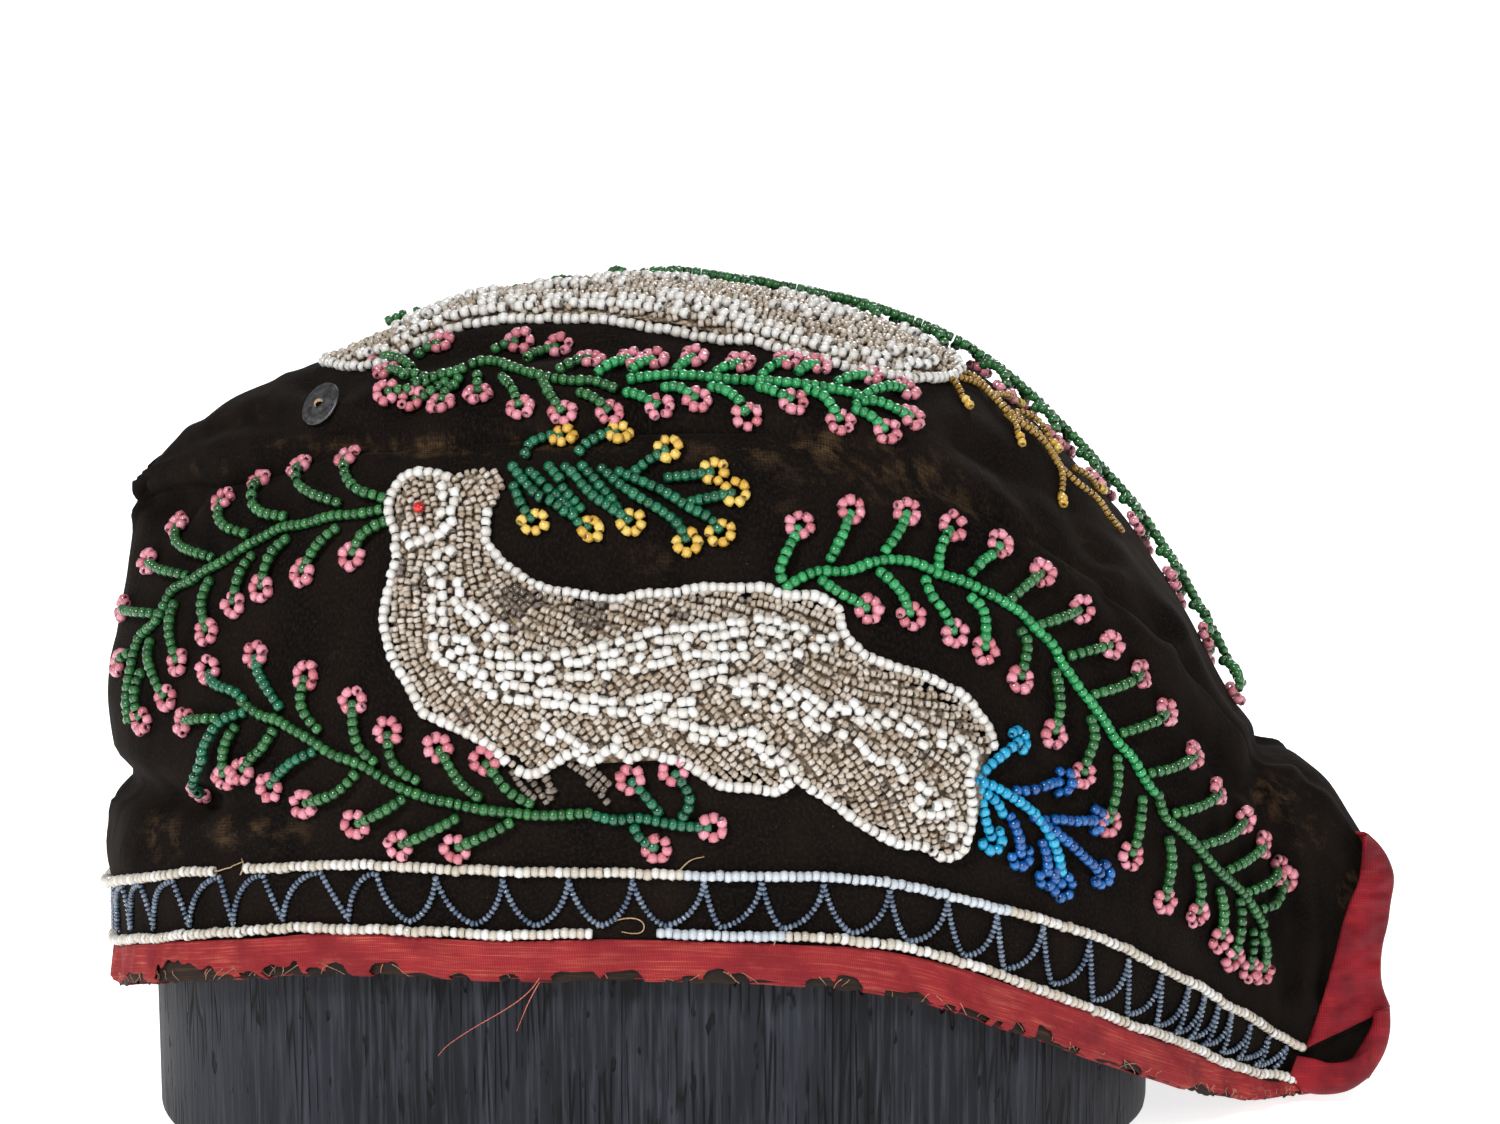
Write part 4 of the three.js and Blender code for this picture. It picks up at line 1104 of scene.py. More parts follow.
def white_beads(beads, strings, rows, outline, carrier, ray, scale, seed, slant=1.0):
    """White beads of whole strings, then of rows wherever there is room. Gives their flat places.

    slant is 1 where the beads of a row lie across it and 0 where they lie along it."""
    rng = chance(seed)
    spots, headings = [], []
    for line in strings:
        flat = spaced(line, WHITE_STEP * scale)
        spots.extend(flat)
        headings.extend(tangents(flat))
    whole = len(spots)
    for line in rows:
        flat = spaced(line, WHITE_STEP * scale)
        turn = tangents(flat)
        flat = flat + rng.normal(0, SHIFT * scale, flat.shape)
        lean = turn * (1 - slant) + np.stack([-turn[:, 1], turn[:, 0]], 1) * slant
        for place, across in zip(flat, lean):
            room = ((np.array(spots) - place) ** 2).sum(1).min() > (WHITE_ROOM * scale) ** 2
            if room and inside_outline(place, outline):
                spots.append(place)
                headings.append(across + rng.normal(0, TURN, 2))
    spots, headings = np.array(spots), np.array(headings)
    places = carrier.cast(spots, ray)
    axes = carrier.cast(spots + headings * AXIS_STEP * scale, ray) - places
    axes = axes + rng.normal(0, AXIS_SPREAD, places.shape)
    stand = np.where(np.arange(len(spots)) < whole, EDGE_STAND, ROW_STAND)
    stand = stand + rng.normal(0, STAND_SPREAD, len(spots))
    settled, _ = carrier.settled(places, WHITE_RADIUS * 0.8 + stand)
    beads.add(settled, axes, WHITE_RADIUS, WHITE_HALF, "white")
    return spots


CLEAR_SHIFT, CLEAR_TURN = 0.15, 0.2
ARCH_BEADS = (5, 9)  # a string has so many beads, and fewer than so many
ARCH, ARCH_SPREAD = 0.5, 0.14


def clear_strands(beads, lines, whites, kind_of, carrier, ray, scale, seed):
    """Short strings of small beads that arch off the padding beside the white ones."""
    rng = chance(seed)
    every = [whites]
    for line in lines:
        flat = spaced(line, CLEAR_STEP * scale)
        flat = flat + rng.normal(0, CLEAR_SHIFT * scale, flat.shape)
        size = int(rng.integers(*ARCH_BEADS))
        share = ((np.arange(len(flat)) + int(rng.integers(0, size))) % size + 0.5) / size
        arch = ARCH * np.sin(np.pi * share) + rng.normal(0, ARCH_SPREAD, len(flat))
        free = ((flat[:, None] - whites[None]) ** 2).sum(2).min(1) > (CLEAR_ROOM * scale) ** 2
        if free.sum() < 2:
            continue
        flat, arch = flat[free], arch[free]
        every.append(flat)
        heights = CLEAR_RADIUS * 0.7 + arch.clip(-0.2, 1.2)
        settled, _ = carrier.settled(carrier.cast(flat, ray), heights)
        axes = tangents(settled) + rng.normal(0, CLEAR_TURN, settled.shape)
        radii = CLEAR_RADIUS * rng.uniform(0.92, 1.08, len(flat))
        beads.add(settled, axes, radii, CLEAR_HALF, kind_of(flat))
    return np.concatenate(every)


def fill_between(beads, laid, outline, carrier, ray, scale, seed):
    """Small clear beads wherever the strands leave the padding bare."""
    rng = chance(seed)
    low, high = outline.min(0), outline.max(0)
    cells = np.stack(np.meshgrid(*(np.arange(low[k], high[k], scale) for k in (0, 1))), -1).reshape(-1, 2)
    cells = cells + rng.uniform(-0.3, 0.3, cells.shape) * scale
    cells = cells[[inside_outline(cell, outline) for cell in cells]]
    found, taken = [], laid
    for cell in cells:
        if ((taken - cell) ** 2).sum(1).min() > (FILL_ROOM * scale) ** 2:
            found.append(cell)
            taken = np.vstack([taken, cell[None]])
    settled, normals = carrier.settled(carrier.cast(np.array(found), ray), CLEAR_RADIUS * 0.6)
    axes = np.cross(normals, rng.normal(0, 1, normals.shape))
    beads.add(settled, axes, CLEAR_RADIUS, CLEAR_HALF, "clear")


BIRD_FEET = [
    [(513, 772), (522, 786), (534, 797)], [(520, 768), (533, 781), (547, 801)],
    [(532, 765), (545, 776), (554, 790)], [(541, 766), (549, 779), (551, 797)],
    [(571, 764), (590, 776), (604, 789)], [(583, 762), (597, 772), (609, 783)],
    [(590, 783), (600, 792), (607, 801)],
]
FOOT_STEP = 1.35
BIRD_EYE = (423, 511)
EYE_STAND, EYE_RADIUS = 2.1, 1.15


def side_bird(carrier):
    beads = Beads()
    cast = (carrier, ray_through, SIDE_SCALE)
    strings = [smoothed(on_outline(NEAR_BIRD_OUTLINE, start, end), 1) for start, end in EDGE_STRINGS]
    rows = []
    for depth, start, end in WHITE_EDGES:
        edge = smoothed(on_outline(NEAR_BIRD_OUTLINE, start, end), 1)
        rows += [offset_line(edge, -ROW_GAP * k) for k in range(1, 1 + int((depth - EDGE_SHARE) / ROW_GAP))]
    for reach, line in WHITE_STRIPES:
        sides = (-1, 1) if reach > NARROW_STRIPE else (0,)
        rows += [offset_line(smoothed(line, 1), side * ROW_GAP / 2) for side in sides]
    whites = white_beads(beads, strings, rows, NEAR_BIRD_OUTLINE, *cast, 30)
    lines = even_strands(NEAR_BIRD_OUTLINE, Field(NEAR_BIRD_FIELD), BIRD_GAP, (640, 690))
    laid = clear_strands(beads, lines, whites, smoky_or_clear, *cast, 31)
    fill_between(beads, laid, NEAR_BIRD_OUTLINE, *cast, 32)
    for foot in BIRD_FEET:
        places = spaced(carrier.cast(foot), FOOT_STEP)
        settled, _ = carrier.settled(places, CLEAR_RADIUS)
        beads.add(settled, tangents(settled), CLEAR_RADIUS, CLEAR_HALF, "smoky")
    eye, _ = carrier.settled(carrier.cast([BIRD_EYE]), EYE_STAND)
    beads.add(eye, np.array([[0.6, -0.3, 0.7]]), EYE_RADIUS, WHITE_HALF, "red")
    return beads


BELLY_ROWS = (0.1, 0.17)  # of the width, where whole rows of white run along the body
CROWN_ROWS = (0.28, 0.46, 0.64, 0.82)  # of the width, where dashes of white run along it
CROWN_GAP = 1.65  # between strands
CROWN_ROW_GAP = 0.95  # from the middle of a dash to its two rows
CROWN_STEPS = 80


def across_crown_bird(fine, share):
    """A line along the bird at a share of its width, in plan."""
    return smooth_point(fine[:, 2], fine[:, 3] + (fine[:, 1] - fine[:, 3]) * share)[:, :2]


def crown_bird(carrier):
    """The bird on the crown, laid out in plan."""
    back = smooth_point(CROWN_BIRD[:, 0], CROWN_BIRD[:, 1])[:, :2]
    belly = smooth_point(CROWN_BIRD[:, 2], CROWN_BIRD[:, 3])[:, :2]
    outline = smoothed(np.vstack([belly, back[::-1]]), 1)
    middle = (back + belly) / 2
    half = np.linalg.norm(back - belly, axis=1) / 2
    guides = []
    for k in range(len(middle)):
        run = np.gradient(middle, axis=0)[k]
        angle = math.degrees(math.atan2(run[1], run[0]))
        spread = 16 if 4 < k < 12 else 8
        side = (back - belly)[k] / (2 * half[k])
        for share, turn in ((-0.6, 1), (0, 0), (0.6, -1)):
            place = middle[k] + side * half[k] * share
            guides.append((*place, angle + spread * turn * math.copysign(1, side[1])))
    beads = Beads()
    cast = (carrier, ray_down, 1.0)
    fine = resampled(CROWN_BIRD, CROWN_STEPS)
    rng = chance(36)
    rows = [across_crown_bird(fine, share)[6:] for share in BELLY_ROWS]
    for share in CROWN_ROWS:
        body = across_crown_bird(fine, share)
        start = int(rng.integers(14, 24))
        while start < CROWN_STEPS - 6:
            run = int(rng.integers(4, 9))
            dash = body[start:start + run]
            rows += [offset_line(dash, -CROWN_ROW_GAP), offset_line(dash, CROWN_ROW_GAP)]
            start += run + int(rng.integers(8, 15))
    whites = white_beads(beads, [np.vstack([outline, outline[:1]])], rows, outline, *cast, 37, 0.0)
    lines = even_strands(outline, Field(guides), CROWN_GAP, middle[7])
    laid = clear_strands(beads, lines, whites, lambda flat: "clear", *cast, 38)
    fill_between(beads, laid, outline, *cast, 39)
    return beads


# Sprays

STRAND_RADIUS, STRAND_STEP = 1.14, 1.66
PETAL_RADIUS, PETAL_RING = 1.09, 2.02
PETAL_TURN = 54.0  # degrees from one petal to the next
FLOWER_AHEAD = 0.9


def strand(beads, carrier, pixels, kind, arch=0.0, radius=STRAND_RADIUS, step=STRAND_STEP):
    """One string of beads. arch is how high its middle stands, as a share of its length."""
    path = smoothed(carrier.cast(smoothed(pixels, 1)), 2)
    return string_on(beads, carrier, path, kind, arch, radius, step)


def string_on(beads, carrier, path, kind, arch=0.0, radius=STRAND_RADIUS, step=STRAND_STEP, stand=0.0):
    places = spaced(path, step)
    length = step * (len(places) - 1)
    share = np.linspace(0, 1, len(places))
    heights = radius * 0.92 + stand + arch * length * np.sin(np.pi * share) ** 0.8
    settled, normals = carrier.settled(places, heights)
    beads.add(settled, tangents(settled), radius, step / 2 * 1.03, kind)
    return settled, normals


def flower(beads, carrier, tip, before, normal, kind="pink", petals=6):
    """A horseshoe of beads round the tip of a leaf, open towards the leaf."""
    ahead = unit(tip - before)
    ahead = unit(ahead - normal * (ahead @ normal))
    across = np.cross(normal, ahead)
    centre = tip + ahead * FLOWER_AHEAD
    rng = chance(int(abs(tip).sum() * 1000) % 100000)
    angles = np.radians((np.arange(petals) - (petals - 1) / 2) * PETAL_TURN + rng.normal(0, 3.5, petals))
    ring = (PETAL_RING + rng.normal(0, 0.13, petals))[:, None]
    places = centre + ring * (np.cos(angles)[:, None] * ahead + np.sin(angles)[:, None] * across)
    heights = PETAL_RADIUS * 0.9 + rng.normal(0.05, 0.22, petals).clip(-0.1, 0.6)
    settled, _ = carrier.settled(places, heights)
    axes = -np.sin(angles)[:, None] * ahead + np.cos(angles)[:, None] * across
    axes = axes + rng.normal(0, 0.22, axes.shape)
    radii = PETAL_RADIUS * rng.uniform(0.92, 1.06, petals)
    beads.add(settled, axes, radii, PETAL_RADIUS * 0.86, kind)


def leaves(beads, carrier, lines, kind, tip_kind="pink", petals=6, arch=0.1):
    for line in lines:
        settled, normals = strand(beads, carrier, line, kind, arch)
        if petals:
            flower(beads, carrier, settled[-1], settled[-2], normals[-1], tip_kind, petals)


BEAK_STEM = [
    (381, 511), (358, 516), (333, 517), (310, 526), (284, 528), (271, 537), (248, 548), (225, 564),
    (208, 572), (195, 583), (179, 588), (171, 599), (167, 611), (159, 625), (146, 634), (140, 646),
    (135, 670), (130, 697), (133, 720),
]
BEAK_LEAVES = [
    [(384, 499), (361, 494), (350, 479), (349, 463)], [(340, 504), (318, 497), (304, 486), (302, 471)],
    [(287, 518), (269, 517), (259, 504), (262, 486)], [(248, 535), (233, 532), (224, 519), (225, 505)],
    [(215, 559), (195, 553), (183, 542), (181, 530)], [(190, 577), (169, 573), (154, 564)],
    [(162, 615), (141, 615), (128, 610)], [(132, 655), (124, 662)], [(386, 523), (366, 535), (356, 553)],
    [(338, 530), (325, 545), (307, 570)], [(289, 541), (276, 558), (266, 586)],
    [(255, 558), (247, 573), (238, 601)], [(213, 583), (208, 604), (210, 629)],
    [(178, 607), (177, 632), (181, 660)], [(154, 644), (157, 667), (168, 695)],
    [(145, 675), (142, 700), (144, 716)],
]
LOW_STEM = [
    (246, 703), (264, 717), (279, 719), (294, 729), (310, 738), (322, 746), (335, 755), (356, 761),
    (373, 770), (394, 784), (412, 791), (432, 798), (455, 802), (478, 808), (494, 810), (520, 812),
    (540, 815), (566, 814), (589, 812),
]
LOW_STEM_TEAL = [
    (597, 815), (617, 820), (637, 816), (655, 820), (676, 824), (693, 826), (707, 826),
]
LOW_LEAVES = [
    [(320, 729), (310, 715), (305, 700), (308, 680)], [(375, 760), (361, 746), (357, 725), (355, 705)],
    [(417, 779), (401, 769), (392, 754), (390, 736)], [(478, 795), (463, 782), (452, 766), (442, 751)],
    [(530, 802), (512, 792), (499, 777), (488, 764)], [(218, 719), (202, 720), (190, 722)],
    [(238, 728), (233, 738), (229, 754), (227, 774)], [(276, 732), (269, 748), (256, 759), (248, 769)],
    [(356, 775), (345, 789), (330, 797), (310, 802)], [(403, 799), (386, 810), (373, 817), (361, 822)],
    [(456, 818), (435, 829), (417, 837), (404, 842)], [(510, 822), (494, 830), (477, 838), (461, 845)],
]
LOW_LEAVES_TEAL = [
    [(282, 706), (274, 690), (264, 673), (260, 660)],
    [(246, 700), (241, 692), (228, 688), (218, 684), (214, 675)],
    [(246, 713), (230, 720), (220, 736), (213, 751), (215, 764), (208, 771), (202, 787)],
    [(315, 752), (299, 760), (284, 774), (274, 784)], [(658, 810), (645, 794), (633, 782)],
    [(683, 815), (691, 802), (686, 787), (676, 774)], [(635, 828), (641, 838), (653, 845)],
]
BACK_STEM = [
    (787, 587), (802, 578), (817, 571), (835, 573), (853, 571), (866, 564), (889, 560), (909, 562),
    (924, 568), (937, 576), (955, 579), (970, 585), (988, 595), (1006, 605), (1021, 615), (1034, 631),
    (1047, 641), (1055, 653), (1057, 662), (1067, 674), (1079, 692), (1089, 704), (1102, 722),
    (1112, 741), (1125, 753), (1133, 763), (1140, 778), (1150, 791), (1155, 795), (1160, 816),
    (1172, 826), (1188, 839), (1203, 857), (1218, 874), (1234, 887), (1246, 902), (1259, 923),
]
BACK_LEAVES = [
    [(787, 587), (777, 577), (783, 559), (794, 539), (797, 531)],
    [(830, 559), (835, 549), (843, 531), (848, 516)], [(884, 551), (891, 541), (899, 528), (904, 516)],
    [(937, 567), (937, 551), (942, 539), (947, 532)], [(970, 573), (983, 562), (996, 548)],
    [(1009, 599), (1021, 587), (1037, 574)], [(1039, 625), (1057, 620), (1075, 611)],
    [(1069, 656), (1087, 651), (1105, 646)], [(1092, 694), (1112, 687), (1135, 676)],
    [(1120, 733), (1140, 725), (1161, 715)], [(1148, 773), (1166, 768), (1189, 756)],
    [(1172, 813), (1193, 806), (1213, 793)], [(1201, 844), (1218, 836), (1239, 821)],
    [(1226, 869), (1239, 859), (1258, 846)], [(1244, 892), (1259, 882), (1272, 869)],
    [(1259, 908), (1274, 895), (1281, 882)], [(822, 582), (838, 596), (853, 602), (863, 608)],
    [(879, 574), (889, 585), (899, 597), (907, 613)], [(924, 582), (927, 597), (940, 613), (950, 631)],
    [(970, 599), (979, 608), (981, 625), (982, 646)],
    [(1019, 633), (1024, 643), (1021, 659), (1018, 676)],
    [(1053, 674), (1053, 692), (1055, 710), (1051, 730)],
    [(1088, 720), (1090, 738), (1083, 755), (1080, 771)],
    [(1114, 759), (1111, 783), (1107, 805), (1106, 818)],
    [(1139, 800), (1134, 818), (1132, 836), (1129, 851)],
    [(1166, 840), (1165, 862), (1162, 882), (1162, 895)], [(1193, 867), (1195, 887), (1194, 908)],
    [(1216, 890), (1217, 913), (1217, 933)], [(1236, 902), (1234, 928), (1230, 953)],
    [(1249, 931), (1246, 953), (1246, 964)], [(1258, 933), (1260, 953), (1259, 966)],
]
BACK_BRIGHT_TO = 28  # so many points of the stem are bright green
BACK_UPPER_LEAVES = 16  # the leaves above the stem come first
CREST_STRANDS = [
    # whether yellow beads end it, then the line
    (1, [(514, 468), (524, 483), (540, 500), (566, 516), (586, 529)]),
    (0, [(531, 473), (546, 487), (558, 502), (574, 512)]),
    (0, [(550, 468), (562, 485), (574, 499), (582, 508)]),
    (1, [(566, 469), (580, 485), (594, 501), (610, 510), (628, 521)]),
    (0, [(583, 468), (597, 485), (610, 499), (617, 508)]),
    (1, [(602, 470), (620, 488), (640, 501), (662, 514), (680, 527), (686, 540)]),
    (1, [(620, 474), (645, 486), (668, 496), (690, 511), (712, 520), (719, 530)]),
    (1, [(636, 472), (650, 461), (665, 451)]), (1, [(669, 479), (690, 478), (710, 474)]),
    (1, [(692, 503), (712, 500), (731, 495)]), (1, [(526, 456), (535, 444), (552, 440), (560, 438)]),
    (1, [(580, 452), (600, 442), (615, 435)]), (1, [(515, 488), (522, 507), (532, 519)]),
]
TAIL_STRANDS = [
    # kind of glass, whether a cluster ends it, then the line
    ("turquoise", 1, [(976, 776), (988, 763), (1004, 750), (1014, 743)]),
    ("turquoise", 0, [(973, 781), (988, 784), (1006, 796), (1032, 813)]),
    ("turquoise", 1, [(980, 803), (982, 821), (989, 835)]),
    ("turquoise", 0, [(1032, 813), (1048, 838), (1059, 870)]),
    ("turquoise", 0, [(978, 790), (993, 800), (1000, 812)]), ("blue", 1, [(1052, 874), (1058, 882)]),
    ("blue", 1, [(1014, 791), (1034, 789), (1057, 781)]),
    ("blue", 1, [(1008, 816), (1016, 838), (1018, 851)]),
    ("blue", 1, [(1032, 816), (1056, 835), (1077, 854), (1096, 872)]),
    ("blue", 1, [(1043, 819), (1069, 819), (1090, 820)]),
    ("blue", 1, [(1040, 842), (1044, 860), (1045, 870)]),
]
TOP_STEM = [
    (403, 378), (423, 380), (444, 378), (464, 373), (479, 365), (497, 365), (518, 373), (536, 378),
    (553, 382), (574, 385), (592, 383), (613, 391), (631, 383), (651, 380), (674, 379), (697, 380),
    (720, 383), (743, 384), (766, 385), (786, 387), (804, 388), (824, 391), (842, 394), (855, 398),
]
TOP_LEAVES = [
    [(855, 408), (870, 406), (893, 416), (906, 419)], [(855, 413), (868, 421), (881, 431)],
    [(858, 401), (881, 394), (901, 393)], [(479, 378), (479, 395)], [(505, 380), (515, 393), (520, 408)],
    [(544, 385), (551, 401), (561, 413)], [(581, 396), (594, 403), (607, 413)],
    [(628, 396), (641, 401), (656, 408)], [(666, 391), (679, 393), (694, 401)],
    [(712, 391), (728, 398), (745, 411)], [(761, 391), (773, 397), (789, 403)],
    [(807, 393), (824, 403), (837, 421)], [(421, 357), (439, 348)], [(497, 352), (515, 345)],
    [(528, 362), (543, 357), (556, 352)], [(561, 373), (574, 368), (587, 364)],
    [(599, 375), (617, 368), (627, 364)], [(633, 373), (651, 365)], [(677, 373), (692, 362)],
    [(717, 375), (738, 368)], [(763, 378), (784, 365)], [(799, 375), (814, 369)],
    [(837, 385), (865, 380)], [(425, 384), (408, 390), (390, 394)], [(445, 384), (430, 394), (418, 402)],
    [(405, 380), (390, 376)], [(462, 380), (452, 392), (444, 404)], [(412, 372), (398, 366), (386, 362)],
]
TOP_BRIGHT_FROM = 596  # pixel column
FAR_STEM = [
    (0.305, 2.16), (0.33, 2.22), (0.36, 2.3), (0.4, 2.34), (0.45, 2.29), (0.5, 2.2), (0.55, 2.11),
    (0.6, 2.06), (0.65, 2.09), (0.7, 2.15), (0.76, 2.2), (0.8, 2.2),
]
FAR_STAND = 2.4  # how far the stem stands off the velvet
FAR_LEAF_EVERY = 4  # beads of the stem from one leaf to the next
GOLDEN_STEM = [
    (938, 373), (959, 378), (977, 386), (989, 401), (1005, 417), (1022, 429), (1038, 440), (1051, 458),
    (1058, 468), (1073, 486), (1094, 503), (1104, 519), (1119, 532),
]
GOLDEN_LEAVES = [
    [(942, 376), (952, 386), (961, 399)], [(1005, 417), (1012, 426), (1016, 435)],
    [(1015, 414), (1033, 424), (1048, 442)], [(1058, 468), (1059, 480), (1059, 496)],
    [(1073, 470), (1084, 480), (1094, 488)], [(990, 398), (1004, 400), (1014, 404)],
]
GOLDEN_DOUBLE_TO = 9  # so many points of the stem carry two strings
GOLDEN_RADIUS, GOLDEN_STEP = 0.72, 1.15
GOLDEN_TIP_RADIUS, GOLDEN_TIP_HALF = 0.98, 0.76


def near_sprays(carrier):
    """The sprays of the near side, by the node that each stands for."""
    beak, low, back, crest, tail = (Beads() for _ in range(5))
    strand(beak, carrier, BEAK_STEM, "green")
    leaves(beak, carrier, BEAK_LEAVES, "green")
    strand(low, carrier, LOW_STEM, "green")
    strand(low, carrier, LOW_STEM_TEAL, "teal")
    flower(low, carrier, *low_tip(low, carrier))
    leaves(low, carrier, LOW_LEAVES, "green")
    leaves(low, carrier, LOW_LEAVES_TEAL, "teal")
    strand(back, carrier, BACK_STEM[:BACK_BRIGHT_TO], "bright")
    strand(back, carrier, BACK_STEM[BACK_BRIGHT_TO:], "green")
    upper, lower = BACK_LEAVES[:BACK_UPPER_LEAVES], BACK_LEAVES[BACK_UPPER_LEAVES:]
    leaves(back, carrier, upper[:5] + lower[:4], "bright")
    leaves(back, carrier, upper[5:] + lower[4:], "green")
    for ends, line in CREST_STRANDS:
        leaves(crest, carrier, [line], "teal", "yellow", 6 * ends, 0.06)
    for kind, ends, line in TAIL_STRANDS:
        leaves(tail, carrier, [line], kind, kind, 5 * ends, 0.08)
    return {
        "beak_spray": beak, "low_spray": low, "back_spray": back, "crest_sprig": crest, "tail_sprig": tail,
    }


def low_tip(beads, carrier):
    tip, before = beads.places[-1][-1], beads.places[-1][-2]
    return tip, before, carrier.nearest(tip)[1]


FAR_REACH, FAR_REACH_SWING = 7.5, 1.2


def far_top_spray(carrier):
    """The crown's far spray: its leaves leave the stem by turns to either side."""
    beads = Beads()
    stem = smoothed(smooth_point(*np.array(FAR_STEM).T), 3)
    settled, normals = string_on(beads, carrier, stem, "green", stand=FAR_STAND)
    heads = tangents(settled)
    for k in range(3, len(settled) - 2, FAR_LEAF_EVERY):
        side = 1 if k // FAR_LEAF_EVERY % 2 else -1
        across = np.cross(normals[k], heads[k]) * side
        reach = FAR_REACH + FAR_REACH_SWING * math.sin(k * 1.7)
        bend = [
            settled[k] + across * 1.6,
            settled[k] + across * reach * 0.45 + heads[k] * reach * 0.2,
            settled[k] + across * reach * 0.8 + heads[k] * reach * 0.62,
        ]
        leaf, normal = string_on(beads, carrier, smoothed(bend, 2), "green", 0.16, stand=FAR_STAND / 2)
        flower(beads, carrier, leaf[-1], leaf[-2], normal[-1])
    return beads


def golden(carrier):
    beads = Beads()
    small = (GOLDEN_RADIUS, GOLDEN_STEP)
    for shift in (-4, 4):
        half = [(x + shift * 0.7, y + shift) for x, y in GOLDEN_STEM[:GOLDEN_DOUBLE_TO]]
        strand(beads, carrier, half, "amber", 0.02, *small)
    strand(beads, carrier, GOLDEN_STEM[GOLDEN_DOUBLE_TO - 1:], "amber", 0.04, *small)
    for line in GOLDEN_LEAVES:
        settled, _ = strand(beads, carrier, line, "amber", 0.08, *small)
        end = settled[-1] + unit(settled[-1] - settled[-2]) * np.array([[1.3], [2.9]])
        tips, _ = carrier.settled(end, 0.9)
        beads.add(tips, tangents(tips), GOLDEN_TIP_RADIUS, GOLDEN_TIP_HALF, "yellow")
    return beads


# Rows and zigzag round the rim

ROW_STEP = 1.52
ROW_RADIUS = 1.1
ROW_POINTS = 1400
WHITER_SHARE = 0.3  # of the beads of a row
UPPER_GAPS = [(215, 243)]
LOWER_GAPS = [(595, 656)]
UPPER_BLUISH = [(680, 1010)]
LOWER_BLUISH = [(656, 786)]
ZIGZAG_TOPS = [
    112, 121, 139, 172, 219, 262, 320, 376, 435, 502, 568, 632, 704, 762, 824, 890, 948, 998, 1044, 1091,
    1130, 1163, 1190, 1206, 1220, 1233, 1252, 1270, 1288,
]
ZIGZAG_FOOTS = [
    116, 129, 152, 188, 232, 282, 348, 409, 474, 535, 601, 665, 721, 783, 852, 909, 965, 1005, 1053, 1094,
    1128, 1157, 1176, 1190, 1204, 1222, 1238, 1255, 1274,
]
ROUND_TOPS = 8  # how many tops from the front are rounder than the feet
ZIGZAG_RADIUS, ZIGZAG_STEP = 0.66, 0.96
ZIGZAG_HALF = ZIGZAG_STEP / 2 * 1.03
ZIGZAG_POINTS = 900
LOOP_POINTS = 14


def round_the_rim(end, count):
    """Shares of along from the near vent round the front to the far one, with the side of each.

    The last value is the millimetres of cloth from the front, below zero on the near side."""
    run = np.linspace(-end, end, count)
    along, far = np.abs(run), run > 0
    return along, far, cloth_place(along, 0)[:, 0] * np.where(far, 1, -1)


# The pixel column, and how many millimetres the upper and the lower row stand there above their even height
ROW_LIFT = np.array([
    [700, 0.0, 0.0], [860, 1.2, 0.8], [970, 2.9, 1.5], [1080, 4.9, 2.0], [1135, 4.1, 1.4],
    [1200, 2.6, 0.4], [1240, -1.2, -1.6], [1264, -3.7, -3.0], [1303, -4.4, -3.3],
])


SINK_FROM = 0.76  # share of the length where the rows start to sink
SINK_LOWER, SINK_MORE = 2.6, 4.4  # of the lower row, and how much more of the upper one
COLUMN_POINTS = 300


def rim_column(along):
    """The pixel column of the near upper row at a share of the cap's length."""
    shares = np.linspace(0, ROW_END, COLUMN_POINTS)
    columns = project(over_rim(shares, shares < 0, 0 * shares + UPPER_ROW, 1.0))[:, 0]
    return np.interp(along, shares, columns)


def sunk(along, share):
    """How far the rows sink towards the vent. share is 0 at the lower row and 1 at the upper."""
    rest = np.clip((along - SINK_FROM) / (ROW_END - SINK_FROM), 0, 1) ** 1.6
    column = rim_column(along)
    upper, lower = (np.interp(column, ROW_LIFT[:, 0], ROW_LIFT[:, k]) for k in (1, 2))
    return (SINK_LOWER + SINK_MORE * share) * rest - lower - (upper - lower) * share


def over_rim(along, far, rise, height):
    up = up_share(along, 0.1, rise)
    return lifted(along, np.where(far, 4 - up, up), height)


def in_ranges(values, ranges):
    found = np.zeros(len(values), bool)
    for low, high in ranges:
        found |= (values > low) & (values < high)
    return found


def row(middle, gaps, bluish, seed):
    along, far, distance = round_the_rim(ROW_END, ROW_POINTS)
    place = distance[:, None]
    wave = 0.42 * value_noise(place, 16.0, seed) + 0.2 * value_noise(place, 5.0, seed + 1)
    path = over_rim(along, far, middle + wave - sunk(along, middle > LOWER_ROW), ROW_RADIUS * 0.95)
    places = spaced(path, ROW_STEP)
    columns = as_seen_near(places)[:, 0]
    kept = ~in_ranges(columns, gaps)
    whiter = chance(seed).uniform(size=len(places)) < WHITER_SHARE
    kinds = np.where(in_ranges(columns, bluish), "bluish", np.where(whiter, "white", "cream"))
    jitter = chance(seed + 2).normal(0, 0.1, len(places))
    places = places + np.array([0, 0, 1.0]) * jitter[:, None]
    beads = Beads()
    heads = tangents(spaced(path, ROW_STEP))
    beads.add(places[kept], heads[kept], ROW_RADIUS, ROW_STEP / 2 * 1.04, kinds[kept])
    return beads


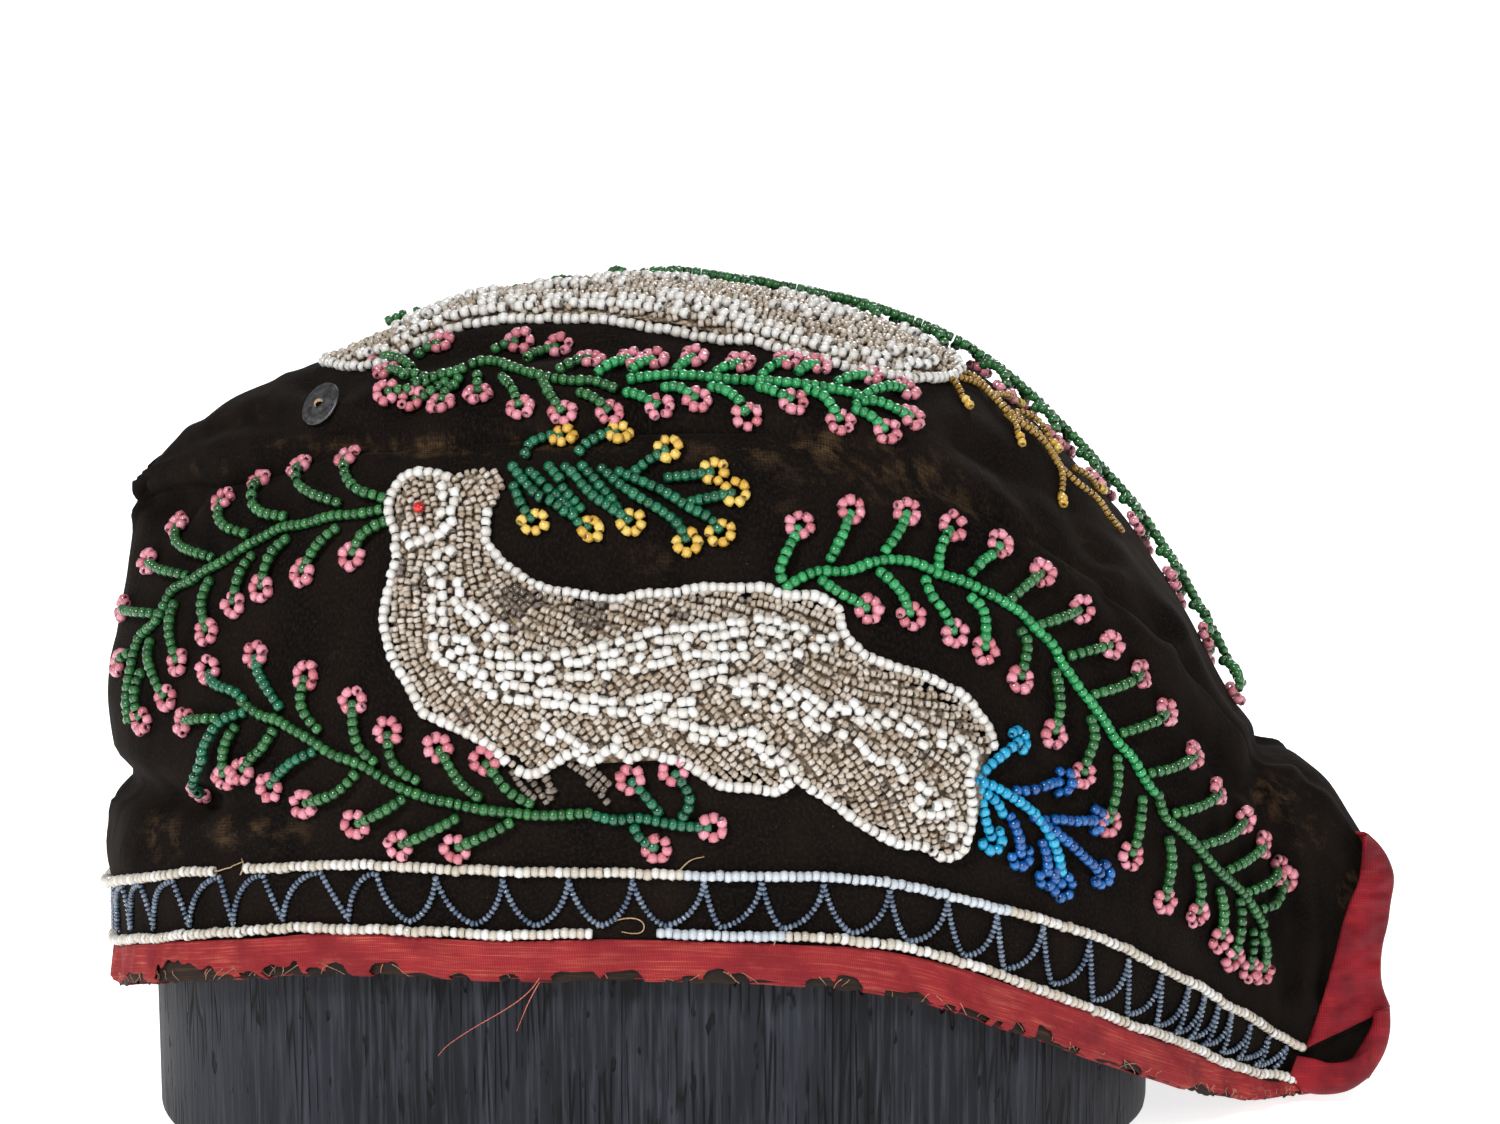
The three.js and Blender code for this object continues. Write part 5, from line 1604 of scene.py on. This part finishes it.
def zigzag():
    """Tiny beads strung in hanging loops between the rows."""
    low = LOWER_ROW + ROW_WIDTH / 2 + ZIGZAG_RADIUS - 0.2
    high = UPPER_ROW - ROW_WIDTH / 2 - ZIGZAG_RADIUS + 0.5
    shares = np.linspace(0.0, ROW_END, ZIGZAG_POINTS)
    turns = []
    for line, rise, share in ((ZIGZAG_TOPS, high, 1), (ZIGZAG_FOOTS, low, 0)):
        columns = project(over_rim(shares, shares < 0, rise - sunk(shares, share), 1.0))[:, 0]
        start = int(np.argmin(columns))
        turns.append([(float(np.interp(x, columns[start:], shares[start:])), rise) for x in line])
    round_to = turns[0][ROUND_TOPS - 1][0]
    turns = [turn for pair in zip(*turns) for turn in pair]
    along, rises = [], []
    t = np.linspace(0, 1, LOOP_POINTS)[:-1]
    for (a, rise), (b, next_rise) in zip(turns[:-1], turns[1:]):
        down = rise > next_rise
        top, foot = (a, b) if down else (b, a)
        if a < round_to:
            across = t if down else 1 - (0.25 * t + 0.75 * (1 - np.cos(np.pi / 2 * t)))
            drop = t**0.9 if down else 1 - np.sin(np.pi / 2 * t)
        else:
            share = t if down else 1 - t
            across = 0.3 * share + 0.7 * (1 - np.cos(np.pi / 2 * share))
            drop = 0.3 * share + 0.7 * np.sin(np.pi / 2 * share)
        along.append(top + (foot - top) * across)
        rises.append(high + (low - high) * drop)
    along, rises = np.concatenate(along), np.concatenate(rises)
    rises = rises - sunk(along, (rises - low) / (high - low))
    beads = Beads()
    for far in (False, True):
        path = over_rim(along, np.full(len(along), far), rises, ZIGZAG_RADIUS)
        places = spaced(path, ZIGZAG_STEP)
        beads.add(places, tangents(places), ZIGZAG_RADIUS, ZIGZAG_HALF, "grey")
    front = np.linspace(-along[0], along[0], LOOP_POINTS)
    wave = (low + high) / 2 + (high - low) / 2 * np.cos(np.linspace(0, 2 * np.pi, LOOP_POINTS) * 2)
    path = over_rim(np.abs(front), front > 0, wave, ZIGZAG_RADIUS)
    places = spaced(smoothed(path), ZIGZAG_STEP)
    beads.add(places, tangents(places), ZIGZAG_RADIUS, ZIGZAG_HALF, "grey")
    return beads


# Ribbon, its torn fold and the lining under it

TEARS = [
    # first and last pixel column of a hole in the fold, and how far up it reaches
    (128, 150, 1.4), (162, 190, 3.2), (186, 218, 2.4), (250, 262, 0.9), (268, 284, 1.6), (286, 302, 1.9),
    (308, 322, 1.0), (330, 350, 1.4), (372, 402, 1.5), (455, 470, 0.9), (500, 520, 0.9), (556, 600, 1.6),
    (604, 642, 1.3), (706, 728, 2.2), (724, 748, 1.5), (808, 832, 1.6), (836, 862, 2.0), (905, 925, 1.2),
    (960, 985, 1.2), (1010, 1022, 1.6), (1034, 1052, 2.2), (1120, 1138, 1.1), (1190, 1204, 0.9),
]
RIBBON_THICKNESS = 0.3
RIM_STEPS, RIM_END = 950, 0.935
RIBBON_STAND = 0.8  # of the turned fold's outer face over the velvet
LEG_INSIDE = 4.0  # millimetres of cloth that the fold takes up
INNER_FACE = -VELVET - LINING_GAP - LINING - GAP
OUTER_LINES = 9  # of the ribbon's grid, from its upper edge down to the tears
TORN_FROM = 0.55  # where the fold is torn this deep, nothing joins its legs


def down_from_rim(along, far):
    foot = velvet_point(along, np.where(far, 4.0, 0.0))
    above = velvet_point(along, np.where(far, 3.98, 0.02))
    return unit(foot - above)


def torn_depth(columns, distance):
    """How far up the fold is torn at a column of the photograph."""
    place = distance[:, None]
    depth = 0.45 * np.abs(value_noise(place, 3.0, 61)) + 0.15
    for first, last, deep in TEARS:
        share = np.clip((columns - first) / (last - first), 0, 1)
        ragged = 1 + 0.3 * value_noise(place, 2.4, 62) + 0.22 * value_noise(place, 0.8, 63)
        depth = np.maximum(depth, deep * np.sin(np.pi * share) ** 0.12 * ragged)
    return depth


def rim_ribbon():
    """The folded ribbon as one grid: its outer leg down to the torn edge, its fold and its inner leg."""
    along, far, distance = round_the_rim(RIM_END, RIM_STEPS)
    gathers = 0.95 * value_noise(distance[:, None], 6.5, 51) + 0.5 * value_noise(distance[:, None], 3.0, 52)
    down = down_from_rim(along, far)
    base_normal = normal_of(velvet_point, along, np.where(far, 4.0, 0.0))
    foot = velvet_point(along, np.where(far, 4.0, 0.0))
    torn = torn_depth(as_seen_near(foot)[:, 0], distance)
    top_edge = BINDING_RISE + 0.25 + 0.25 * value_noise(distance[:, None], 9.0, 53) - sunk(along, 0)
    lines, cloth = [], []
    for share in np.linspace(0, 1, OUTER_LINES):
        rise = top_edge + (torn - top_edge) * share
        slack = 0.5 + 0.6 * share + gathers * (0.35 + 0.65 * share)
        hang = np.clip(0.5 - torn, 0, 0.5) * share**4
        lines.append(over_rim(along, far, rise, slack.clip(0.3)) + down * hang[:, None])
        cloth.append(rise - hang)
    for share in (0.3, 0.7, 1.0):
        across = RIBBON_STAND + (INNER_FACE - RIBBON_STAND) * share
        beyond = 0.5 + 0.7 * math.sin(math.pi * share) + 0.3 * gathers * (1 - share)
        lines.append(foot + base_normal * across + down * beyond[:, None])
        cloth.append(-LEG_INSIDE * share + 0 * along)
    for share in (0.5, 1.0):
        rise = BINDING_RISE * share
        lines.append(over_rim(along, far, rise, INNER_FACE + 0 * along))
        cloth.append(-LEG_INSIDE - rise + 0 * along)
    points = np.stack(lines, 1)
    size = points.shape[:2]
    place = np.stack([np.broadcast_to(distance[:, None], size), np.stack(cloth, 1), np.zeros(size)], -1)
    whole = (torn[:-1] < TORN_FROM) & (torn[1:] < TORN_FROM)
    keep = np.ones((size[0] - 1, size[1] - 1), bool)
    keep[~whole, OUTER_LINES - 1:OUTER_LINES + 1] = False
    return points, place, grid_quads(numbered(*size))[keep.ravel()]


def thickened(piece, thickness):
    """Gives a sheet its thickness, as part of its mesh."""
    modifier = piece.modifiers.new("thickness", "SOLIDIFY")
    modifier.thickness = thickness * MM
    modifier.offset = 0.0
    graph = bpy.context.evaluated_depsgraph_get()
    mesh = bpy.data.meshes.new_from_object(piece.evaluated_get(graph))
    piece.modifiers.clear()
    piece.data = mesh
    return piece


def add_ribbon():
    points, place, quads = rim_ribbon()
    used, back = np.unique(quads, return_inverse=True)
    rim = add_piece(
        "ribbon_rim", points.reshape(-1, 3)[used], back.reshape(-1, 4), [RIM_RIBBON], "ribbon",
        ["rim_binding"], cloth=place.reshape(-1, 3)[used],
    )
    thickened(rim, RIBBON_THICKNESS)
    add_vent()
    add_loose_vent()
    add_lining_edge()


VENT_RISE = 95  # millimetres of ribbon up the vent
VENT_STAND = 0.75
VENT_LINES = 16


def add_vent():
    """The wider ribbon up the far edge of the vent."""
    up = np.linspace(-0.04, 1.0, 70)
    level = np.clip(up, 0, 0.985)
    lines, cloth = [], []

    def lay(line, across):
        lines.append(line)
        cloth.append(np.stack([across + 0 * level, level * VENT_RISE, 0 * level], -1))

    width = VENT_BINDING * (0.75 + 0.35 * np.clip(1 - level, 0, 1))
    reach = np.array([along_share(0.98, u, 1.0) for u in level])
    puckers = value_noise(np.stack([up * VENT_RISE, up * 0], 1), 6.0, 72)
    for share in np.linspace(0, 1, VENT_LINES):
        along = 1 - reach * width * (1 - share)
        creases = value_noise(np.stack([up * VENT_RISE, up * 0 + share * 10], 1), 4.0, 73)
        wave = 0.5 * puckers * (0.4 + 0.6 * share) + 0.35 * creases
        lay(lifted(along, 4 - level, VENT_STAND + wave), share * width)
    edge = lines[-1]
    outward = unit(edge - lifted(1 - reach * 3, 4 - level, VENT_STAND + 0 * level))
    normal = normal_of(velvet_point, np.full(len(level), 0.999), 4 - level)
    for share in (0.33, 0.66, 1.0):
        bend = math.sin(math.pi * share * 0.8)
        lay(edge + outward * 1.3 * bend + normal * (INNER_FACE - RIBBON_STAND) * share, 12 + 4 * share)
    turned = lines[-1]
    for share in (0.5, 1.0):
        lay(turned - outward * 9 * share, 16 + 9 * share)
    points = np.stack(lines, 1)
    below = np.clip(-up, 0, 1)[:, None, None] * VENT_RISE
    points = points + np.array([0.0, 0.0, -1.0]) * below * 0.25
    quads = grid_quads(numbered(*points.shape[:2]))
    piece = add_piece(
        "ribbon_vent_far", points, quads, [VENT_RIBBON], "ribbon", ["rim_binding"],
        cloth=np.stack(cloth, 1).reshape(-1, 3),
    )
    thickened(piece, RIBBON_THICKNESS)


def at_depth(pixels, depth):
    """Points on the rays of pixels where they cross planes across Y."""
    pixels = np.asarray(pixels, float)
    heading = (
        AHEAD
        + RIGHT * ((pixels[..., :1] - IMAGE_WIDTH / 2) / FOCAL)
        + ABOVE * ((IMAGE_HEIGHT / 2 - pixels[..., 1:]) / FOCAL)
    )
    return EYE + heading * ((np.asarray(depth) - EYE[1]) / heading[..., 1])[..., None]


# The near vent's ribbon and its loose corner: each sheet's two edges in pixels, and their planes across Y
VENT_BAND = (
    [(1364, 836), (1363, 855), (1360, 880), (1351, 900), (1343, 922), (1336, 953), (1328, 981), (1320, 1008),
     (1306, 1048)],
    [(1366, 836), (1378, 847), (1387, 861), (1393, 880), (1388, 905), (1386, 925), (1379, 950), (1378, 985),
     (1388, 1009)],
    -10.8, -8.0,
)
POUCH_WALL = (
    [(1374, 1012), (1374, 1024), (1364, 1042), (1352, 1060)],
    [(1389, 1008), (1390, 1030), (1384, 1054), (1368, 1078)],
    -9.4, -8.6,
)
POUCH_FLAP = (
    [(1297, 1056), (1312, 1058), (1330, 1064), (1348, 1062), (1368, 1050)],
    [(1288, 1080), (1306, 1093), (1330, 1094), (1350, 1090), (1368, 1077)],
    -12.6, -11.0,
)
# How the band's edge turns in, in millimetres from the edge
VENT_TURN = [(0.5, 1.2, 0), (0.0, 2.6, 0), (-3.0, 3.2, 0), (-8.0, 2.8, 0)]
VENT_TURN_CLOTH = [(1.3, 0, 0), (2.7, 0, 0), (5.7, 0, 0), (10.7, 0, 0)]
LOOSE_THICKNESS = 0.5


def loose_sheet(edges, rows, columns, ripple, seed):
    """A sheet of cloth between two edges seen in the photograph, rippled across its length."""
    left, right, left_depth, right_depth = edges
    left, right = (resample_line(smoothed(edge, 2), rows) for edge in (left, right))
    share = np.linspace(0, 1, columns)[None, :, None]
    pixels = left[:, None] + (right - left)[:, None] * share
    run = np.linspace(0, 1, rows)[:, None]
    place = np.stack([pixels[..., 0], pixels[..., 1] * 1.6], -1)
    coarse = value_noise(place * np.array([0.5, 1.0]), 30.0, seed)
    wave = ripple * (coarse + 0.5 * value_noise(place, 12.0, seed + 1))
    bulge = -1.6 * np.sin(np.pi * share[..., 0]) ** 0.8
    depth = left_depth + (right_depth - left_depth) * share[..., 0] + wave + bulge + 0 * run
    points = at_depth(pixels, depth)
    cloth = np.stack([pixels[..., 0] / PIXELS_A_MM, pixels[..., 1] / PIXELS_A_MM, 0 * wave], -1)
    return points, cloth


def add_loose_vent():
    band, cloth = loose_sheet(VENT_BAND, 70, 16, 1.5, 75)
    band = np.concatenate([band, band[:, -1:] + np.array([VENT_TURN])], 1)
    cloth = np.concatenate([cloth, cloth[:, -1:] + np.array([VENT_TURN_CLOTH])], 1)
    wall, flap = loose_sheet(POUCH_WALL, 24, 10, 0.7, 77), loose_sheet(POUCH_FLAP, 30, 12, 0.8, 79)
    sheets = [(band, cloth), wall, flap]
    meshes = [(grid.reshape(-1, 3), grid_quads(numbered(*grid.shape[:2]))) for grid, _ in sheets]
    piece = add_piece(
        "ribbon_vent_near", *joined(meshes), [VENT_RIBBON], "ribbon", ["rim_binding"],
        cloth=np.concatenate([place.reshape(-1, 3) for _, place in sheets]),
    )
    thickened(piece, LOOSE_THICKNESS)


EDGE_POINTS = 900


def add_lining_edge():
    """The lining's frayed edge, which shows through the tears, in a darkened copy of the lining's cloth as
    painted shade.
    """
    along, far, distance = round_the_rim(RIM_END, EDGE_POINTS)
    down = down_from_rim(along, far)
    foot = over_rim(along, far, 0.05, 0.25 + 0 * along)
    fine, coarse = (value_noise(distance[:, None], *how) for how in ((1.1, 81), (6.0, 82)))
    ragged = (0.75 + 0.5 * fine + 0.35 * coarse).clip(0.1)
    lines = [over_rim(along, far, rise, 0.28 + 0 * along) for rise in (4.5, 3.0, 1.5)]
    lines += [foot + down * (ragged * share)[:, None] for share in (0.0, 0.5, 1.0)]
    points = np.stack(lines, 1)
    size = points.shape[:2]
    rise = np.broadcast_to(np.arange(size[1]) * 1.2, size)
    place = np.stack([np.broadcast_to(distance[:, None], size), rise, np.zeros(size)], -1)
    quads = grid_quads(numbered(*size))
    piece = add_piece("lining_edge", points, quads, [SHADED_EDGE_CLOTH], "lining", cloth=place.reshape(-1, 3))
    thickened(piece, RIBBON_THICKNESS)


# Loose threads

THREAD_SIDES = 5
THREAD_TIP = 0.55  # radius at the end of a thread, as a share of that at its start


def tube(path, radius):
    """Points and quads of a thin round thread."""
    path = np.asarray(path, float)
    heads = tangents(path)
    across = unit(np.cross(heads, np.array([0.31, 0.52, 0.79])))
    other = np.cross(heads, across)
    turns = np.arange(THREAD_SIDES) * 2 * math.pi / THREAD_SIDES
    thin = np.linspace(1, THREAD_TIP, len(path))[:, None, None] * radius
    spokes = np.cos(turns)[:, None] * across[:, None, :] + np.sin(turns)[:, None] * other[:, None, :]
    rings = path[:, None, :] + thin * spokes
    index = numbered(len(path), THREAD_SIDES)
    return rings.reshape(-1, 3), np.concatenate([round_quads(index), [index[0, :4], index[-1, 3::-1]]])


def add_threads(name, paths, radius, material, slot):
    add_piece(name, *joined([tube(path, radius) for path in paths]), [material], slot)


FRAY_COUNT, FRAY_POINTS = 260, 6
RED_SHARE = 0.35  # of the frayed threads


def fray():
    """Short threads along the torn fold."""
    rng = chance(91)
    paths = {"red": [], "brown": []}
    for k in range(FRAY_COUNT):
        side = rng.uniform() < 0.5
        along = float(rng.uniform(0.0, 0.9))
        length = float(rng.uniform(1.2, 4.6))
        sway = float(rng.uniform(-1, 1))
        steps = np.linspace(0, 1, FRAY_POINTS)
        shares = np.clip(along + sway * length / (CLOTH_RUN * LENGTH) * steps, 0, 0.95)
        far = np.full(FRAY_POINTS, side)
        start = over_rim(shares, far, 0.3 + 1.2 * (1 - steps), 0.9 + 0.3 * np.sin(steps * 5 + k))
        drop = down_from_rim(shares, far) * (length * 0.24 * steps**1.5)[:, None]
        paths["red" if rng.uniform() < RED_SHARE else "brown"].append(smoothed(start + drop, 1))
    return paths


# Millimetres from the start of each: the thread that hangs from the rim, then its fork
HANGING = np.array([
    (0, 0, 0), (-1.5, -1.2, -3.0), (-4.5, -1.6, -6.0), (-9.0, -1.4, -9.0), (-14.0, -1.0, -12.0),
    (-19.0, -0.8, -15.5), (-20.5, -0.7, -17.5),
])
FORK = np.array([(0, 0, 0), (-2.0, -0.4, -3.5), (-3.4, -0.4, -7.0), (-4.4, -0.4, -9.5)])
HANGING_FROM = (545, 966)
SEWING_LOOPS = [
    [(597, 927), (606, 924), (620, 918), (636, 917), (645, 923), (643, 932), (632, 933), (622, 931)],
    [(206, 868), (218, 871), (226, 868), (236, 866), (245, 862)],
    [(672, 880), (682, 866), (692, 858), (704, 856)], [(776, 938), (773, 945), (777, 950)],
    [(504, 611), (514, 622), (522, 634), (533, 646)], [(242, 874), (246, 866), (243, 859)],
]
RED_THICK, BROWN_THICK, TAN_THICK, STITCH_THICK = 0.11, 0.1, 0.16, 0.2


def add_loose_threads(carrier):
    paths = fray()
    hanging = carrier.cast([HANGING_FROM]) + np.array([0, -0.4, 0]) + HANGING
    fork = hanging[1] + np.array([0.5, -0.2, 0.3]) + FORK
    paths["red"] += [smoothed(hanging, 3), smoothed(fork, 3)]
    add_threads("fray_red", paths["red"], RED_THICK, RED_THREAD, "ribbon")
    add_threads("fray_brown", paths["brown"], BROWN_THICK, BROWN_THREAD, "lining")
    tan = [carrier.settled(smoothed(carrier.cast(line), 2), 0.5)[0] for line in SEWING_LOOPS]
    add_threads("sewing_threads", tan, TAN_THICK, TAN_THREAD, "lining")


# Sequin

SEQUIN_AT, SEQUIN_STAND = (322, 405), 0.7
SEQUIN_SIDES = 48
SEQUIN_PROFILE = [
    # radius and height, from the hole over the face and back below it
    (0.9, 0.35), (1.4, 0.3), (3.0, 0.12), (4.3, 0.0), (4.7, -0.12), (4.7, -0.4), (4.3, -0.35), (3.0, -0.2),
    (1.4, -0.05), (0.9, 0.0),
]
STITCH = [(-1.0, 0.1), (-0.6, 0.9), (0.0, 1.15), (0.6, 0.9), (1.0, 0.1)]


def add_sequin(carrier):
    centre, normal = carrier.settled(carrier.cast([SEQUIN_AT]), SEQUIN_STAND)
    centre, normal = centre[0], normal[0]
    across = unit(np.cross(normal, np.array([0.0, 1.0, 0.2])))
    other = np.cross(normal, across)
    turns = np.arange(SEQUIN_SIDES) * 2 * math.pi / SEQUIN_SIDES
    spokes = np.cos(turns)[:, None] * across + np.sin(turns)[:, None] * other
    rings = np.array([centre + spokes * r + normal * h for r, h in SEQUIN_PROFILE])
    index = numbered(len(SEQUIN_PROFILE), SEQUIN_SIDES)
    quads = round_quads(np.concatenate([index, index[:1]]))
    points = rings.reshape(-1, 3)
    quads = facing_out(points - centre, quads)
    add_piece("sequin_disc", points, quads, [SEQUIN_METAL], "sequin_metal", ["sequin"])
    stitch = [centre + across * x + normal * h for x, h in STITCH]
    pair = [smoothed(stitch, 2), smoothed([p + other * 0.35 for p in stitch], 2)]
    add_threads("sequin_stitch", pair, STITCH_THICK, TAN_THREAD, "lining")


# Block

BLOCK_FRONT_ROOM, BLOCK_SIDE_ROOM = 3.6, 1.0
BLOCK_BACK = 0.816  # share of the cap's length
SHOULDER, BLOCK_EDGE, BLOCK_TOP = 79.0, 1.5, HEIGHT - VELVET - 0.5
OVAL_POWER = 2.2
BLOCK_SIDES = 220
DOME_SCALES = [0.99, 0.97, 0.94, 0.89, 0.84, 0.77, 0.7, 0.61, 0.52, 0.42, 0.33, 0.24, 0.15, 0.07, 0.012]


def add_block():
    layers = VELVET + LINING_GAP + LINING + GAP + RIBBON
    front = -LENGTH / 2 + layers + BLOCK_FRONT_ROOM
    back = (BLOCK_BACK - 0.5) * LENGTH
    half_length = (back - front) / 2
    half_width = HALF_WIDTH - layers - BLOCK_SIDE_ROOM
    angle = 2 * math.pi * (np.arange(BLOCK_SIDES) + 0.5) / BLOCK_SIDES
    wobble = 1 + 0.0012 * value_noise(np.stack([np.cos(angle), np.sin(angle)], 1) * 60, 4.0, 41)

    def bend(v):
        return np.sign(v) * np.abs(v) ** (2 / OVAL_POWER)

    def ring(z, scale, inset=0.0):
        return np.stack([
            (front + back) / 2 + bend(np.cos(angle)) * (half_length - inset) * scale * wobble,
            bend(np.sin(angle)) * (half_width - inset) * scale * wobble,
            np.full(BLOCK_SIDES, z),
        ], 1)

    rings = [ring(0, DOME_SCALES[-1], BLOCK_EDGE), ring(0, 1, BLOCK_EDGE)]
    for a in np.linspace(0.3, math.pi / 2, 4):
        rings.append(ring(BLOCK_EDGE * (1 - math.cos(a)), 1, BLOCK_EDGE * (1 - math.sin(a))))
    rings += [ring(z, 1) for z in np.linspace(4, SHOULDER, 12)]
    rings += [ring(SHOULDER + (BLOCK_TOP - SHOULDER) * (1 - s**1.6) ** 0.9, s) for s in DOME_SCALES]
    points = np.array(rings).reshape(-1, 3)
    index = numbered(len(rings), BLOCK_SIDES)
    quads = round_quads(index)
    caps = []
    for line in (index[0][::-1], index[-1]):
        caps += [[line[k], line[k + 1], line[-2 - k], line[-1 - k]] for k in range(BLOCK_SIDES // 2 - 1)]
    quads = np.concatenate([quads, np.array(caps)])
    add_piece("block", points, facing_out(points, quads), [BLOCK_WOOD], "block_wood", ["display_block"])


# Stage

FLOOR_HALF = 30
FLOOR_GLOW, SKY_GLOW = 0.78, 0.3
WHITE_LIGHT = (1.0, 1.0, 1.0, 1.0)
AIM = Vector((0, 0, 0.08))
LAMPS = [
    # place and size in metres, power in watts
    ("key", (-0.55, -1.0, 0.95), 0.28, 14.0),
    ("fill", (1.1, -0.8, 0.55), 0.4, 3.5),
    ("back", (0.3, 1.0, 1.0), 0.6, 9.0),
]


def add_stage():
    mesh = bpy.data.meshes.new("floor")
    corners = [(x * FLOOR_HALF, y * FLOOR_HALF, 0) for x, y in ((-1, -1), (1, -1), (1, 1), (-1, 1))]
    mesh.from_pydata(corners, [], [(0, 1, 2, 3)])
    finish = Finish("floor_paint", Roughness=0.6)
    finish.set("Base Color", finish.mix(finish.noise(3.0, 2.0), (0.88, 0.88, 0.88), (0.92, 0.92, 0.92)))
    finish.shader.inputs["Emission Color"].default_value = WHITE_LIGHT
    finish.shader.inputs["Emission Strength"].default_value = FLOOR_GLOW
    mesh.materials.append(finish.material)
    floor = bpy.data.objects.new("floor", mesh)
    bpy.context.scene.collection.objects.link(floor)
    world = bpy.data.worlds.new("studio")
    world.use_nodes = True
    world.node_tree.nodes["Background"].inputs["Color"].default_value = WHITE_LIGHT
    world.node_tree.nodes["Background"].inputs["Strength"].default_value = SKY_GLOW
    bpy.context.scene.world = world
    for name, place, size, watts in LAMPS:
        data = bpy.data.lights.new(name, "AREA")
        data.size = size
        data.energy = watts
        lamp = bpy.data.objects.new(name, data)
        bpy.context.scene.collection.objects.link(lamp)
        lamp.location = place
        lamp.rotation_euler = (AIM - Vector(place)).to_track_quat("-Z", "Y").to_euler()
    bpy.context.scene.view_settings.view_transform = "Standard"


# The assembly

add_camera()
add_stage()
add_block()
panels = add_velvet()
pads = {
    "near": add_pad("near", SIDE_BIRD),
    "far": add_pad("far", SIDE_BIRD * np.array([1, -1, 1, -1]) + np.array([0, 4, 0, 4])),
    "top": add_pad("top", CROWN_BIRD),
}
CLOTH = Carrier(*panels)
PADDED = Carrier(*panels, pads["near"], pads["top"])

near_bird = side_bird(PADDED)
near_bird.build("bird_near_beads", "white_beads", ["bird_near"], 101)
near_bird.mirrored().build("bird_far_beads", "white_beads", ["bird_far"], 102)
crown_bird(PADDED).build("bird_top_beads", "white_beads", ["bird_top"], 103)

SPRAY_SLOTS = {"crest_sprig": "teal_beads", "tail_sprig": "blue_beads"}
for number, (node, beads) in enumerate(near_sprays(CLOTH).items()):
    slot = SPRAY_SLOTS.get(node, "green_beads")
    beads.build(f"{node}_near_beads", slot, [f"{node}_near"], 110 + number)
    beads.mirrored().build(f"{node}_far_beads", slot, [f"{node}_far"], 120 + number)

top_near = Beads()
strand(top_near, CLOTH, TOP_STEM[:12], "green")
strand(top_near, CLOTH, TOP_STEM[12:], "bright")
for kind, chosen in (("green", False), ("bright", True)):
    leaves(top_near, CLOTH, [line for line in TOP_LEAVES if (line[0][0] >= TOP_BRIGHT_FROM) == chosen], kind)
top_near.build("top_spray_near_beads", "green_beads", ["top_spray_near"], 131)
far_top_spray(CLOTH).build("top_spray_far_beads", "green_beads", ["top_spray_far"], 132)
golden(CLOTH).build("golden_sprig_beads", "gold_beads", ["golden_sprig"], 133)
lower_row = row(LOWER_ROW, LOWER_GAPS, LOWER_BLUISH, 141)
lower_row.build("row_lower_beads", "white_beads", ["bead_row_lower"], 142)
upper_row = row(UPPER_ROW, UPPER_GAPS, UPPER_BLUISH, 151)
upper_row.build("row_upper_beads", "white_beads", ["bead_row_upper"], 152)
zigzag().build("zigzag_beads_string", "grey_blue_beads", ["zigzag_beads"], 161)

add_ribbon()
add_sequin(CLOTH)
add_loose_threads(PADDED)

edge_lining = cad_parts["edge_lining"]
edge_lining.data.materials.clear()
edge_lining.data.materials.append(cotton_thread("inner_lining", (0.1, 0.055, 0.028), (0.2, 0.12, 0.065)))
